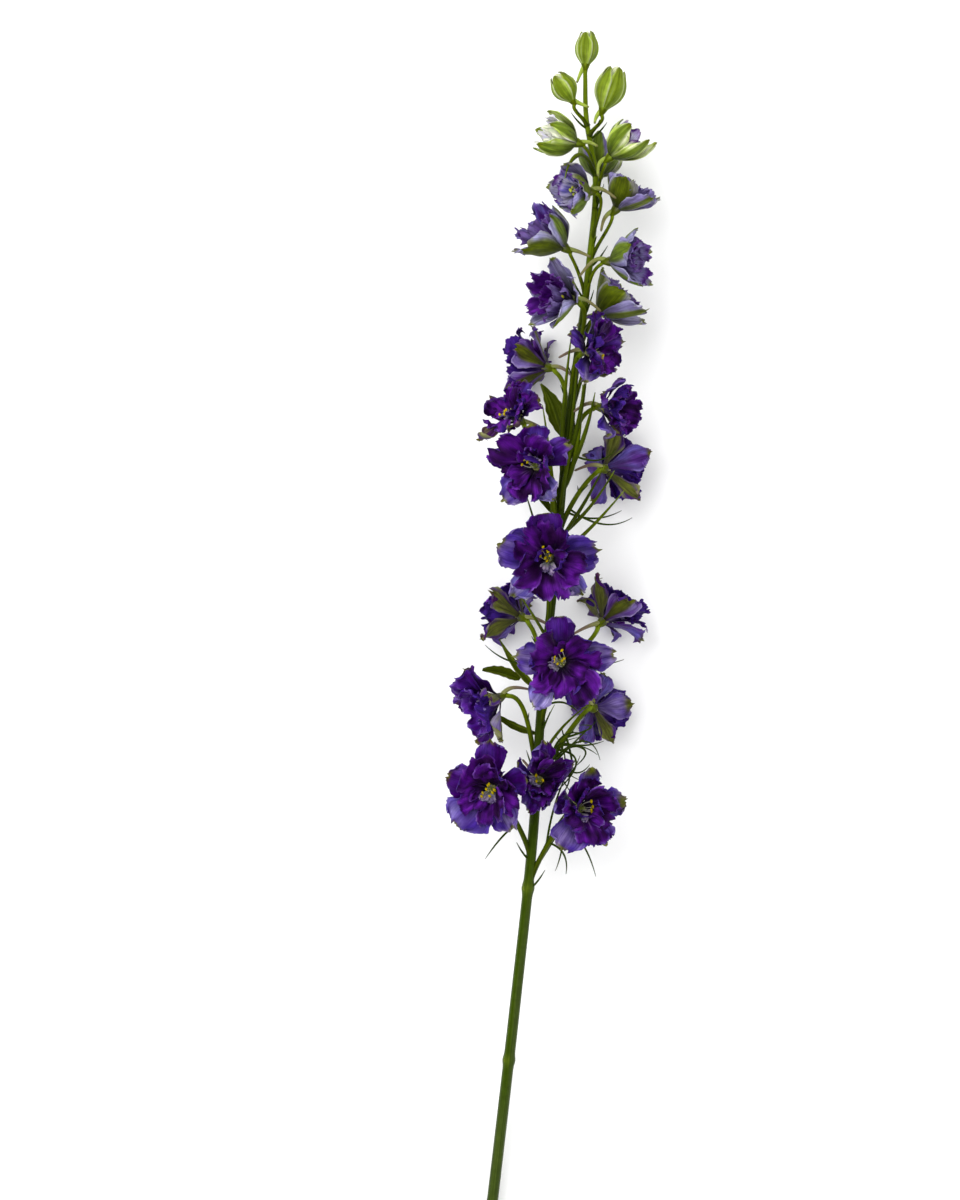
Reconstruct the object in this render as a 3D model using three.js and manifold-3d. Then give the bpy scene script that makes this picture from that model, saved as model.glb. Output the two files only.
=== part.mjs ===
// A cut flower spike of double larkspur (garden delphinium), lying on its side on a flat surface.
//
// Millimetres, +Z up. The stem runs along +Y from its cut end to the bud at the tip, and the surface
// is z = 0. The origin lies on the surface, in the middle of the flat spot that the lower stem rests on.
import * as THREE from 'three';
import { mergeVertices } from 'three/addons/utils/BufferGeometryUtils.js';
import Module from 'manifold-3d';

const wasm = await Module();
wasm.setup();

// ---------------------------------------------------------------------------- driving dimensions

// Centre line of the stem, from the cut end to just below the tip bud.
const STEM_LINE = [
  [-0.2, -8, 1.9], [0.2, 14, 1.9], [5.6, 60, 6], [14.4, 138, 15], [21.2, 204, 22.5],
  [24.8, 260, 26.5], [30.4, 316, 28], [35.2, 368, 28], [44, 436, 27], [46.4, 468, 26],
  [42.6, 494, 25.5], [42.2, 511.2, 25.5],
];
const CUT_END_Y = STEM_LINE[0][1];
const STEM_TOP_Y = STEM_LINE.at(-1)[1];
const STEM_STEPS = 24;
const STEM_SIDES = 8;
// Radius of the stem at heights along Y.
const STEM_RADII = [[-8, 2.25], [100, 2.2], [200, 2.0], [260, 1.8], [400, 1.5], [450, 1.35], [511, 0.85]];
// The pale swelling under the lowest flower stalk, and the scar of a fallen leaf.
const STEM_KNOTS = [{ y: 184, radius: 2.75 }, { y: 113.6, radius: 2.7 }];
const KNOT_STRETCH = 1.3;
const KNOT_SIDES = 7;
const KNOT_RINGS = 5;

// The stalks that leave the stem above this height are the young, thin ones.
const YOUNG_ABOVE_Y = 400;
const YOUNG_STALK = { radius: 0.7, steps: 3 };
const OLD_STALK = { radius: 0.95, steps: 4 };
const STALK_SIDES = 5;
// Thickness at the foot of a stalk and at its bloom, as shares of its radius.
const STALK_FOOT = 1.15;
const STALK_END = 0.9;
// Each stalk ends behind its bloom, this far back and to the lower side of the bloom's axis.
const STALK_END_BACK = 3.65;
const STALK_END_ASIDE = 0.95;
// How a stalk bends: shares of its length.
const STALK_LEAD = 0.22;
const STALK_RISE = 0.18;
const STALK_LATE_BACK = 0.24;
const STALK_LATE_ASIDE = 0.1;

// Bracts are threads: one at the foot of each stalk and one on the side of each old stalk.
const THREAD_SIDES = 3;
const THREAD_STEPS = 2;
const THREAD_RADIUS = 0.5;
const THREAD_TAPER = 0.35;
const BRACT_LENGTH = 9;
const BRACT_EXTRA = 5;
const BRACT_CURL = 0.35;
const SHORT_BRACT_LENGTH = 5;
const SIDE_BRACT_AT = 0.6;
const SIDE_BRACT_LENGTH = 5;
const SIDE_BRACT_EXTRA = 3;
const SIDE_BRACT_CURL = 0.1;

// Each bloom is built round its own axis: the hub in front of z = 0, the cup and spur behind it.
const HUB_RADIUS = 1.3;
const CUP_RADIUS = 2.3;
const CUP_FRONT = 0;
const CUP_BACK = -3.3;
const CUP_BACK_RADIUS = 1.3;
const CUP_WAIST = -1.4;
const CUP_SIDES = 6;
const SPUR_ROOT_RADIUS = 1.25;
const SPUR_TIP_RADIUS = 0.45;
const SPUR_SIDES = 5;
const SPUR_STEPS = 3;
// The spur leaves the cup this far to the upper side of the bloom's axis and this far back.
const SPUR_START_ASIDE = 0.9;
const SPUR_START_BACK = 1.7;
// It first heads back and to the upper side, by these shares of its length, then bends to its tip.
const SPUR_LEAD_BACK = 0.32;
const SPUR_LEAD_ASIDE = 0.2;
const SPUR_LATE = 0.45;

const BLADE_THICKNESS = 1.1;
const BLADE_ROOT_HALF = 1.3;
const ROOT_RING = 2.2;
const SEPAL_LEVEL = 0.9;
const PETAL_LEVEL = 2.1;
// A blade starts inside the ring of its root, at this share of it.
const ROOT_START = 0.85;
// How fast a blade widens from its root.
const WIDENING = 1.7;
// One edge of a blade lies over the next blade and the other under it, by this slope.
const LAP = 0.24;

// Distance from a bloom's base to its middle: in mm, or as a share of the length of a deep bloom.
const FLORET_MIDDLE = 4;
const DEEP_MIDDLE = 0.45;
// Blooms further apart than this many times the sum of their sizes do not meet.
const NEIGHBOUR_RANGE = 2.2;
// Room left between the middles of two neighbouring petals where blooms press together.
const NEIGHBOUR_ROOM = 0.8;
const PRESS_SOFTNESS = 4;
const FLOOR_SOFTNESS = 1.5;
// The petals that lie on the surface are pressed down to this height and cut off flat at 0.
const FLOOR_LEVEL = -0.15;

const STAMENS = 4;
const STAMEN_LENGTH = 5.4;
const STAMEN_ROOT_RADIUS = 0.36;
const STAMEN_HEAD_RADIUS = 0.8;
const STAMEN_HEAD_LENGTH = 0.8;
const STAMEN_ASIDE = 0.45;
const STAMEN_BASE = 2.95;
const PAD_RADIUS = 1.2;
const PAD_HEIGHT = 0.9;

const BUD_SIDES = 10;
const BUD_RINGS = 6;
// Five ribs, this deep as a share of the radius.
const BUD_RIBS = 5;
const BUD_RIB_DEPTH = 0.07;

// Facets flatter than this are merged.
const SIMPLIFY = 0.05;

// Colours, from the tip of the spike down.
const STEM_GREEN = 0x55782a;
const BUD_GREEN = 0x8fb04a;
const HALF_OPEN_VIOLET = 0x7d72b8;
const PETAL_VIOLET = 0x4c1e92;
const SPUR_OLIVE = 0x8b8a5c;
const ANTHER_YELLOW = 0xc9a821;

// The blooms from the tip down. base: where the petals meet; facing: the way the bloom opens;
// join: where along Y its stalk leaves the stem; spur: from the base to the tip of the spur.
const BUDS = [
  {
    name: 'bud_1', base: [42.4, 515.4, 25.5], facing: [0.05, 1, 0.02],
    length: 13, width: 9.2, join: null, spur: [-3.5, -8, 1],
  },
  {
    name: 'bud_2', base: [36.4, 501, 28], facing: [-0.54, 0.84, 0.15],
    length: 11.5, width: 10, join: 490, spur: [7, -4, 3],
  },
  {
    name: 'bud_3', base: [49.4, 497, 28], facing: [0.32, 0.93, 0.15],
    length: 17.5, width: 12, join: 486, spur: [-3.6, -6.5, 3],
  },
];
const OPENING = [
  {
    name: 'opening_4', base: [38.8, 482.8, 30], facing: [-0.93, 0.25, 0.27],
    length: 18, join: 470, spur: [8, -2, 5],
  },
  {
    name: 'opening_5', base: [52, 477, 30], facing: [0.72, 0.65, 0.25],
    length: 18.5, join: 457, spur: [-5, -8, 5],
  },
  {
    name: 'opening_6', base: [48, 471, 19], facing: [0.1, 0.85, -0.5],
    length: 18, join: 456, spur: [-5, -8, 2],
  },
];
const HALF_OPEN = [
  {
    name: 'half_7', base: [43.6, 462.8, 34], facing: [-0.85, -0.05, 0.5],
    length: 18, join: 442, spur: [10.5, -3, 3], shortBract: true,
  },
  {
    name: 'half_8', base: [54.4, 456.4, 28], facing: [0.6, 0.78, 0.1],
    length: 19, join: 434, spur: [-6, -9, 3],
  },
  {
    name: 'half_9', base: [34, 440.8, 30], facing: [-0.75, 0.6, 0.25],
    length: 21, join: 421, spur: [10, -4, 4],
  },
  {
    name: 'half_10', base: [51.6, 435.2, 32], facing: [0.93, 0.05, 0.35],
    length: 19, join: 413, spur: [-12, -6.4, 3],
  },
  {
    name: 'half_11', base: [37.2, 419, 38], facing: [-0.75, 0.1, 0.65],
    length: 20.5, join: 391, spur: [11, -4, -4], shortBract: true,
  },
  {
    name: 'half_12', base: [47.2, 414.6, 24], facing: [0.8, 0.58, 0],
    length: 20.5, join: 396, spur: [-8, -4, -7],
  },
];
// open: how wide the floret has opened, 1 for flat.
const FLORETS = [
  {
    name: 'floret_13', base: [27.6, 394, 14], facing: [-0.84, 0.25, -0.4],
    radius: 19, open: 0.62, join: 364, spur: [10, -4, 4],
  },
  {
    name: 'floret_14', base: [42.4, 398.8, 34], facing: [0.68, 0.05, 0.7],
    radius: 16.5, open: 0.9, join: 376, spur: [-11, -2, -3],
  },
  {
    name: 'floret_15', base: [48.4, 377, 30], facing: [0.88, -0.1, 0.42],
    radius: 16.5, open: 0.85, join: 350, spur: [-11, -2, 4],
  },
  {
    name: 'floret_16', base: [23.4, 353, 42], facing: [-0.48, 0, 0.88],
    radius: 20.5, open: 0.95, join: 316, spur: [6, 2, -12],
  },
  {
    name: 'floret_16b', base: [16, 372, 30], facing: [-0.6, 0.55, 0.5],
    radius: 17.5, open: 0.9, join: 338, spur: [12, -5, -3],
  },
  {
    name: 'floret_17', base: [50, 353, 17], facing: [0.68, 0.05, -0.73],
    radius: 20, open: 0.9, join: 326, spur: [-12, -1, 6],
  },
  {
    name: 'floret_18', base: [27.4, 317, 43], facing: [-0.06, -0.18, 0.98],
    radius: 22, open: 1, join: 286, spur: [-7, 4, -10],
  },
  {
    name: 'floret_19', base: [49.2, 291, 16], facing: [0.64, 0.6, -0.45],
    radius: 19.5, open: 0.8, join: 262, spur: [-12, -5, 3],
  },
  {
    name: 'floret_20', base: [17, 293, 16], facing: [-0.76, 0.4, -0.45],
    radius: 20, open: 0.85, join: 266, spur: [12, -4, 3],
  },
  {
    name: 'floret_21', base: [32, 275.6, 43], facing: [0.05, -0.12, 0.99],
    radius: 21.5, open: 1, join: 248, spur: [3, 6, -12],
  },
  {
    name: 'floret_22', base: [45.6, 256.4, 14], facing: [0.4, -0.2, -0.9],
    radius: 17, open: 0.85, join: 222, spur: [-3, 4, 13],
  },
  {
    name: 'floret_23', base: [8, 261, 29], facing: [-0.8, -0.4, 0.42],
    radius: 21, open: 0.68, join: 230, spur: [12, 3, -6],
  },
  {
    name: 'floret_24', base: [5, 225.6, 42], facing: [-0.2, -0.1, 0.97],
    radius: 21, open: 0.98, join: 196, spur: [4, 4, -12],
  },
  {
    name: 'floret_24b', base: [23, 228, 33], facing: [0.25, 0.05, 0.96],
    radius: 17, open: 0.9, join: 206, spur: [-6, 8, -7],
  },
  {
    name: 'floret_25', base: [39, 217.2, 36], facing: [0.4, 0, 0.9],
    radius: 19.5, open: 0.9, join: 184, spur: [-7, 4, -11],
  },
];

// Long thread-like bracts that curl out from the stalks: where each springs from its stalk, the
// way it heads and where its tip ends.
const LONG_THREADS = [
  { bloom: 'floret_25', at: 0.5, via: [36, 200, 27], tip: [34.5, 190, 25] },
  { bloom: 'floret_25', at: 0.75, via: [42, 206, 29], tip: [46.5, 189, 24] },
  { bloom: 'floret_22', at: 0.35, via: [31, 250, 31], tip: [43, 246, 27] },
  { bloom: 'floret_22', at: 0.5, via: [50, 242, 26], tip: [37, 232, 22] },
  { bloom: 'floret_22', at: 0.55, via: [42, 240, 20], tip: [50, 243, 16] },
  { bloom: 'floret_17', at: 0.35, via: [50, 326, 28], tip: [61, 333, 27] },
  { bloom: 'floret_17', at: 0.3, via: [46, 330, 24], tip: [57, 336, 20] },
  { bloom: 'floret_15', at: 0.3, via: [48, 352, 32], tip: [54, 360, 38] },
  { bloom: 'opening_4', at: 0.3, via: [41, 481, 34], tip: [36, 473.5, 35] },
  { bloom: 'floret_19', at: 0.4, via: [46, 272, 24], tip: [58, 276, 20] },
  { bloom: 'floret_20', at: 0.35, via: [12, 272, 22], tip: [2, 282, 26] },
];

// ---------------------------------------------------------------------------- small helpers

const vector = ([x, y, z]) => new THREE.Vector3(x, y, z);

// A repeatable random draw between 0 and 1.
function seededRandom(seed) {
  let state = seed * 7919 + 13;
  const next = () => {
    state = (state * 16807) % 2147483647;
    return state / 2147483647;
  };
  next();
  next();
  return next;
}

// A closed three.js geometry, its shared vertices joined, as a solid.
function solidFrom(geometry) {
  geometry.deleteAttribute('normal');
  geometry.deleteAttribute('uv');
  const joined = mergeVertices(geometry, 1e-4);
  const corners = joined.index.array;
  const triangles = [];
  for (let i = 0; i < corners.length; i += 3) {
    const [a, b, c] = corners.slice(i, i + 3);
    if (a !== b && b !== c && c !== a) triangles.push(a, b, c);
  }
  return solidFromArrays(joined.attributes.position.array, triangles);
}

// The triangles are turned round where they face inwards.
function solidFromArrays(positions, triangles) {
  const a = new THREE.Vector3();
  const b = new THREE.Vector3();
  const c = new THREE.Vector3();
  let volume = 0;
  for (let i = 0; i < triangles.length; i += 3) {
    a.fromArray(positions, triangles[i] * 3);
    b.fromArray(positions, triangles[i + 1] * 3);
    c.fromArray(positions, triangles[i + 2] * 3);
    volume += a.dot(b.cross(c));
  }
  const outward = volume > 0 ? triangles : triangles.toReversed();
  return new wasm.Manifold(new wasm.Mesh({
    numProp: 3,
    vertProperties: new Float32Array(positions),
    triVerts: new Uint32Array(outward),
  }));
}

// Joined solids as one body: what dips under the surface is cut off flat and scraps are dropped.
function fuse(solids) {
  const joined = wasm.Manifold.union(solids).trimByPlane([0, 0, 1], 0).simplify(SIMPLIFY);
  const bodies = joined.decompose();
  return bodies.reduce((best, body) => (body.volume() > best.volume() ? body : best));
}
// Value at x of the straight lines through [x, value] pairs.
function along(pairs, x) {
  for (let i = 1; i < pairs.length; i += 1) {
    const [x0, v0] = pairs[i - 1];
    const [x1, v1] = pairs[i];
    const t = Math.max(0, (x - x0) / (x1 - x0));
    if (x <= x1) return v0 + (v1 - v0) * t;
  }
  return pairs.at(-1)[1];
}

// A tapering round rod along a curve; radiusAt(t) is its radius at t from 0 to 1.
function rod(curve, radiusAt, sides, steps, pointed = false) {
  const geometry = new THREE.CylinderGeometry(pointed ? 0 : 1, 1, 1, sides, steps);
  const { normals, binormals } = curve.computeFrenetFrames(steps, false);
  const position = geometry.attributes.position;
  for (let i = 0; i < position.count; i += 1) {
    const t = position.getY(i) + 0.5;
    const ring = Math.round(t * steps);
    const x = position.getX(i);
    const z = position.getZ(i);
    const reach = Math.hypot(x, z);
    const radius = reach > 1e-6 ? radiusAt(t) / reach : 0;
    const point = curve.getPointAt(ring / steps);
    point.addScaledVector(normals[ring], x * radius);
    point.addScaledVector(binormals[ring], z * radius);
    position.setXYZ(i, point.x, point.y, point.z);
  }
  return solidFrom(geometry);
}

// ---------------------------------------------------------------------------- the stem's line

const stemCurve = new THREE.CatmullRomCurve3(STEM_LINE.map(vector), false, 'centripetal');
const STEM_SAMPLES = stemCurve.getSpacedPoints(400);

// The point on the stem's centre line at height y along the stem.
function stemPoint(y) {
  const after = STEM_SAMPLES.findIndex((sample) => sample.y >= y);
  const a = STEM_SAMPLES[Math.max(0, after - 1)];
  const b = STEM_SAMPLES[after];
  return a.clone().lerp(b, (y - a.y) / Math.max(1e-6, b.y - a.y));
}

// ---------------------------------------------------------------------------- blooms pressed together

// Each bloom keeps to its own side of a plane between it and each near neighbour, placed in
// proportion to their sizes, and its petals bend back softly as they near the plane.
const ALL_BLOOMS = [...BUDS, ...OPENING, ...HALF_OPEN, ...FLORETS];
for (const bloom of ALL_BLOOMS) {
  bloom.seed = ALL_BLOOMS.indexOf(bloom) + 1;
  bloom.origin = vector(bloom.base);
  bloom.front = vector(bloom.facing).normalize();
  // The upper side of the bloom, where its spur springs, is turned to the tip of the spike.
  bloom.upper = new THREE.Vector3(0, 1, 0).projectOnPlane(bloom.front).normalize();
  bloom.side = bloom.front.clone().cross(bloom.upper);
  bloom.reach = bloom.radius ?? bloom.length / 2;
  const toMiddle = bloom.radius ? FLORET_MIDDLE : DEEP_MIDDLE * bloom.length;
  bloom.middle = bloom.origin.clone().addScaledVector(bloom.front, toMiddle);
}

function wallsOf(bloom) {
  const walls = [];
  for (const other of ALL_BLOOMS) {
    if (other === bloom) continue;
    const between = other.middle.clone().sub(bloom.middle);
    const distance = between.length();
    if (distance > NEIGHBOUR_RANGE * (bloom.reach + other.reach)) continue;
    const normal = between.divideScalar(distance);
    const share = (distance * bloom.reach) / (bloom.reach + other.reach);
    walls.push({ normal, offset: normal.dot(bloom.middle) + share - NEIGHBOUR_ROOM });
  }
  return walls;
}

// Moves a point of a petal back from the walls and up from the surface.
function press(point, walls) {
  for (const { normal, offset } of walls) {
    const past = normal.dot(point) - offset + PRESS_SOFTNESS;
    const kept = PRESS_SOFTNESS * (1 - Math.exp(-past / PRESS_SOFTNESS));
    if (past > 0) point.addScaledVector(normal, kept - past);
  }
  for (const { normal, offset } of walls) {
    const over = normal.dot(point) - offset;
    if (over > 0) point.addScaledVector(normal, -over);
  }
  const low = FLOOR_LEVEL + FLOOR_SOFTNESS - point.z;
  if (low > 0) point.z += low - FLOOR_SOFTNESS * (1 - Math.exp(-low / FLOOR_SOFTNESS));
}

// ---------------------------------------------------------------------------- petals and sepals

// Distance from the bloom's axis, height along it and slope at a distance s along a blade.
function midline(blade, s) {
  const steps = 12;
  let radius = ROOT_START * ROOT_RING;
  let height = blade.level;
  let slope = blade.opensFrom;
  for (let i = 0; i < steps; i += 1) {
    const x = ((i + 0.5) / steps) * (s / blade.length);
    slope = blade.opensFrom + (blade.opensTo - blade.opensFrom) * x + blade.flare * x ** 3;
    radius += (Math.sin(slope) * s) / steps;
    height += (Math.cos(slope) * s) / steps;
  }
  return { radius, height, slope };
}

// A point on the middle surface of a blade, in the bloom's own frame: u from root to tip, v across.
function bladePoint(blade, u, v) {
  const s = u * blade.length * (1 - blade.tipRound * v * v * u * u);
  const { radius, height, slope } = midline(blade, s);
  const grow = Math.sin((Math.PI / 2) * Math.min(1, u / blade.widest)) ** WIDENING;
  const past = Math.max(0, (u - blade.widest) / (1 - blade.widest));
  const full = BLADE_ROOT_HALF + (blade.halfWidth - BLADE_ROOT_HALF) * grow;
  const half = full * (1 - blade.tipNarrow * past * past);
  const wrap = (v * half) / blade.curl;
  const wave = blade.ruffle * (u * Math.abs(v)) ** 1.5 * Math.sin(blade.phase + 7 * u + 2.2 * v);
  const lap = blade.lap * v * half * Math.min(1, 3 * u);
  const inward = blade.curl * (1 - Math.cos(wrap)) + wave + lap;
  const x = radius - Math.cos(slope) * inward;
  const y = blade.curl * Math.sin(wrap);
  const z = height + Math.sin(slope) * inward;
  const c = Math.cos(blade.turn);
  const d = Math.sin(blade.turn);
  return new THREE.Vector3(x * c - y * d, x * d + y * c, z);
}

// A ring of blades that have grown together at their roots, each a little different from the last.
// The middle surface is a small disc with a blade on each of its sides.
function corolla(bloom, walls, random, ring) {
  const middle = [];
  const rim = [];
  const faces = [];
  const place = (local, onRim) => {
    const point = bloom.origin.clone();
    point.addScaledVector(bloom.upper, local.x);
    point.addScaledVector(bloom.side, local.y);
    point.addScaledVector(bloom.front, local.z);
    press(point, walls);
    middle.push(point.x, point.y, point.z);
    rim.push(onRim);
    return rim.length - 1;
  };
  const blades = [];
  for (let i = 0; i < ring.count; i += 1) {
    blades.push({
      ...ring,
      length: ring.length * (0.9 + 0.2 * random()),
      halfWidth: ring.halfWidth * (0.92 + 0.16 * random()),
      opensTo: ring.opensTo + ring.spread * (random() - 0.5),
      turn: (2 * Math.PI * i) / ring.count + ring.turn + 0.24 * (random() - 0.5),
      phase: 2 * Math.PI * random(),
    });
  }
  const centre = place(new THREE.Vector3(0, 0, ring.level), false);
  const corners = blades.map((blade, i) => {
    const corner = new THREE.Vector3(ROOT_RING, 0, ring.level);
    corner.applyAxisAngle(new THREE.Vector3(0, 0, 1), ring.turn + (2 * Math.PI * (i - 0.5)) / ring.count);
    return place(corner, true);
  });
  blades.forEach((blade, i) => {
    let last = [corners[i], place(bladePoint(blade, 0, 0), false), corners[(i + 1) % ring.count]];
    faces.push(centre, last[0], last[1], centre, last[1], last[2]);
    for (let row = 1; row <= ring.rows; row += 1) {
      const tip = row === ring.rows;
      const next = [-1, 0, 1].map((v) => place(bladePoint(blade, row / ring.rows, v), v !== 0 || tip));
      for (const k of [0, 1]) {
        faces.push(last[k], next[k], next[k + 1]);
        faces.push(last[k], next[k + 1], last[k + 1]);
      }
      last = next;
    }
  });
  return thicken(middle, rim, faces);
}

// A thin closed body round a middle surface, with a sharp rim; both faces have the same triangles.
function thicken(middle, rim, faces) {
  const sheet = new THREE.BufferGeometry();
  sheet.setAttribute('position', new THREE.Float32BufferAttribute(middle, 3));
  sheet.setIndex(faces);
  sheet.computeVertexNormals();
  const normal = sheet.attributes.normal.array;
  const half = BLADE_THICKNESS / 2;
  const points = middle.map((value, i) => value + (rim[Math.floor(i / 3)] ? 0 : half * normal[i]));
  const back = rim.map((onRim, i) => {
    if (onRim) return i;
    for (let k = 3 * i; k < 3 * i + 3; k += 1) points.push(middle[k] - half * normal[k]);
    return points.length / 3 - 1;
  });
  return solidFromArrays(points, [...faces, ...faces.map((i) => back[i]).toReversed()]);
}

const degrees = THREE.MathUtils.degToRad;

// The shapes of the rings, for a bloom whose sepals are `size` long. Angles are in degrees from the
// bloom's axis; curl is the radius that a blade is rolled to across its width.
const FLORET_SEPALS = (size, open) => ({
  count: 5, level: SEPAL_LEVEL, turn: 0, rows: 3, length: size, halfWidth: 0.4 * size,
  opensFrom: degrees(50), opensTo: degrees(98 * open), spread: degrees(30), flare: 0,
  curl: 30, tipRound: 0.16, widest: 0.66, tipNarrow: 0.36, ruffle: 2.2, lap: LAP,
});
const FLORET_PETALS = (size, open) => ({
  count: 5, level: PETAL_LEVEL, turn: degrees(36), rows: 3, length: 0.86 * size, halfWidth: 0.36 * size,
  opensFrom: degrees(27), opensTo: degrees(78 * open), spread: degrees(36), flare: 0,
  curl: 20, tipRound: 0.12, widest: 0.75, tipNarrow: 0.15, ruffle: 2.4, lap: LAP,
});
const HALF_SEPALS = (size) => ({
  count: 5, level: SEPAL_LEVEL, turn: 0, rows: 3, length: size, halfWidth: 0.32 * size,
  opensFrom: degrees(58), opensTo: degrees(14), spread: degrees(24), flare: degrees(24),
  curl: 9, tipRound: 0.2, widest: 0.6, tipNarrow: 0.42, ruffle: 1, lap: LAP,
});
const HALF_PETALS = (size) => ({
  count: 4, level: PETAL_LEVEL, turn: degrees(30), rows: 3, length: 0.94 * size, halfWidth: 0.28 * size,
  opensFrom: degrees(34), opensTo: degrees(10), spread: degrees(24), flare: degrees(10),
  curl: 10, tipRound: 0.12, widest: 0.75, tipNarrow: 0.1, ruffle: 1.8, lap: LAP,
});
const OPENING_SEPALS = (size) => ({
  count: 5, level: SEPAL_LEVEL, turn: 0, rows: 3, length: size, halfWidth: 0.27 * size,
  opensFrom: degrees(64), opensTo: degrees(-26), spread: degrees(20), flare: degrees(16),
  curl: 6, tipRound: 0.25, widest: 0.55, tipNarrow: 0.45, ruffle: 0.4, lap: LAP,
});
const OPENING_PETALS = (size) => ({
  count: 3, level: PETAL_LEVEL, turn: degrees(36), rows: 3, length: 0.84 * size, halfWidth: 0.2 * size,
  opensFrom: degrees(30), opensTo: degrees(-18), spread: degrees(20), flare: 0,
  curl: 6, tipRound: 0.2, widest: 0.6, tipNarrow: 0.3, ruffle: 0.8, lap: LAP,
});

// ---------------------------------------------------------------------------- hub, cup, spur, stamens

// A geometry that stands on its own +Y axis, moved to stand on the bloom's axis.
function ontoBloom(bloom, geometry) {
  const toBloom = new THREE.Matrix4().makeBasis(bloom.upper, bloom.front, bloom.side.clone().negate());
  return solidFrom(geometry.applyMatrix4(toBloom.setPosition(bloom.origin)));
}

// A turned geometry; the profile lists [radius, distance along the axis].
function lathe(profile, sides) {
  return new THREE.LatheGeometry(profile.map(([r, z]) => new THREE.Vector2(r, z)), sides);
}

// The hub that carries the petals in front of the sepals.
function hub(bloom) {
  const profile = [[0, SEPAL_LEVEL], [HUB_RADIUS, SEPAL_LEVEL], [HUB_RADIUS, PETAL_LEVEL], [0, PETAL_LEVEL]];
  return ontoBloom(bloom, lathe(profile, CUP_SIDES));
}

// The cup behind the sepals, up to a front of a given radius.
function cup(bloom, front, frontRadius) {
  const back = [[0, CUP_BACK], [CUP_BACK_RADIUS, CUP_BACK], [CUP_RADIUS, CUP_WAIST]];
  return ontoBloom(bloom, lathe([...back, [frontRadius, front], [0, front]], CUP_SIDES));
}

// The spur springs from the upper side of the cup and runs back past the stalk.
function spur(bloom) {
  const start = bloom.origin.clone().addScaledVector(bloom.upper, SPUR_START_ASIDE);
  start.addScaledVector(bloom.front, -SPUR_START_BACK);
  const tip = bloom.origin.clone().add(vector(bloom.spur));
  const length = start.distanceTo(tip);
  const lead = start.clone().addScaledVector(bloom.front, -SPUR_LEAD_BACK * length);
  lead.addScaledVector(bloom.upper, SPUR_LEAD_ASIDE * length);
  const late = tip.clone().lerp(lead, SPUR_LATE);
  const curve = new THREE.CubicBezierCurve3(start, lead, late, tip);
  const radiusAt = (t) => SPUR_ROOT_RADIUS + (SPUR_TIP_RADIUS - SPUR_ROOT_RADIUS) * t;
  return rod(curve, radiusAt, SPUR_SIDES, SPUR_STEPS);
}

// A tuft of stamens on a small pad, in front of the hub.
function stamens(bloom) {
  const random = seededRandom(bloom.seed + 100);
  const top = STAMEN_BASE + PAD_HEIGHT;
  const pad = lathe([[0, STAMEN_BASE], [PAD_RADIUS, STAMEN_BASE], [PAD_RADIUS, top], [0, top]], 4);
  const parts = [ontoBloom(bloom, pad)];
  for (let i = 0; i < STAMENS; i += 1) {
    const turn = (2 * Math.PI * (i + 0.5 * random())) / STAMENS;
    const lean = degrees(8 + 14 * random());
    const length = STAMEN_LENGTH * (0.8 + 0.35 * random());
    const head = [STAMEN_HEAD_RADIUS, length - STAMEN_HEAD_LENGTH];
    const stamen = lathe([[0, 0], [STAMEN_ROOT_RADIUS, 0], head, [0, length]], 3);
    stamen.rotateX(lean).translate(0, STAMEN_BASE + 0.2, STAMEN_ASIDE).rotateY(turn);
    parts.push(ontoBloom(bloom, stamen));
  }
  return fuse(parts);
}

// ---------------------------------------------------------------------------- whole blooms

// A closed bud: a ribbed egg shape, widest past its middle, with its spur.
function bud(bloom) {
  const geometry = new THREE.SphereGeometry(1, BUD_SIDES, BUD_RINGS);
  const position = geometry.attributes.position;
  for (let i = 0; i < position.count; i += 1) {
    const t = Math.acos(THREE.MathUtils.clamp(-position.getY(i), -1, 1)) / Math.PI;
    const turn = Math.atan2(position.getZ(i), position.getX(i));
    const round = Math.max(0, Math.sin(Math.PI * t ** 1.2)) ** (1.1 - 0.5 * t);
    const radius = (bloom.width / 2) * round * (1 + BUD_RIB_DEPTH * Math.cos(BUD_RIBS * turn));
    const point = bloom.origin.clone();
    point.addScaledVector(bloom.front, CUP_BACK + (bloom.length - CUP_BACK) * t);
    point.addScaledVector(bloom.upper, radius * Math.cos(turn));
    point.addScaledVector(bloom.side, radius * Math.sin(turn));
    position.setXYZ(i, point.x, point.y, point.z);
  }
  return fuse([solidFrom(geometry), spur(bloom)]);
}

// A ring of sepals behind a ring of petals, joined by the hub. Both draw on the same random stream.
function flowerHead(bloom, sepalRing, petalRing) {
  const walls = wallsOf(bloom);
  const random = seededRandom(bloom.seed);
  const sepals = corolla(bloom, walls, random, sepalRing);
  const petals = corolla(bloom, walls, random, petalRing);
  return [hub(bloom), sepals, petals];
}

// In a young bloom the sepals, petals, cup and spur are one colour, and so one body.
function youngBloom(bloom, sepalRing, petalRing) {
  const joinedCup = cup(bloom, SEPAL_LEVEL, 0.8 * CUP_RADIUS);
  return fuse([...flowerHead(bloom, sepalRing, petalRing), joinedCup, spur(bloom)]);
}

// ---------------------------------------------------------------------------- stem, stalks and bracts

// A stalk leaves the stem leaning towards its bloom and meets the bloom's axis from behind.
function stalkCurve(bloom) {
  const start = stemPoint(bloom.join);
  const end = bloom.origin.clone().addScaledVector(bloom.front, -STALK_END_BACK);
  end.addScaledVector(bloom.upper, -STALK_END_ASIDE);
  const span = end.clone().sub(start);
  const length = span.length();
  const lead = start.clone().addScaledVector(span, STALK_LEAD);
  lead.y += STALK_RISE * length;
  const late = end.clone().addScaledVector(bloom.front, -STALK_LATE_BACK * length);
  late.addScaledVector(bloom.upper, -STALK_LATE_ASIDE * length);
  return new THREE.CubicBezierCurve3(start, lead, late, end);
}

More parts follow.
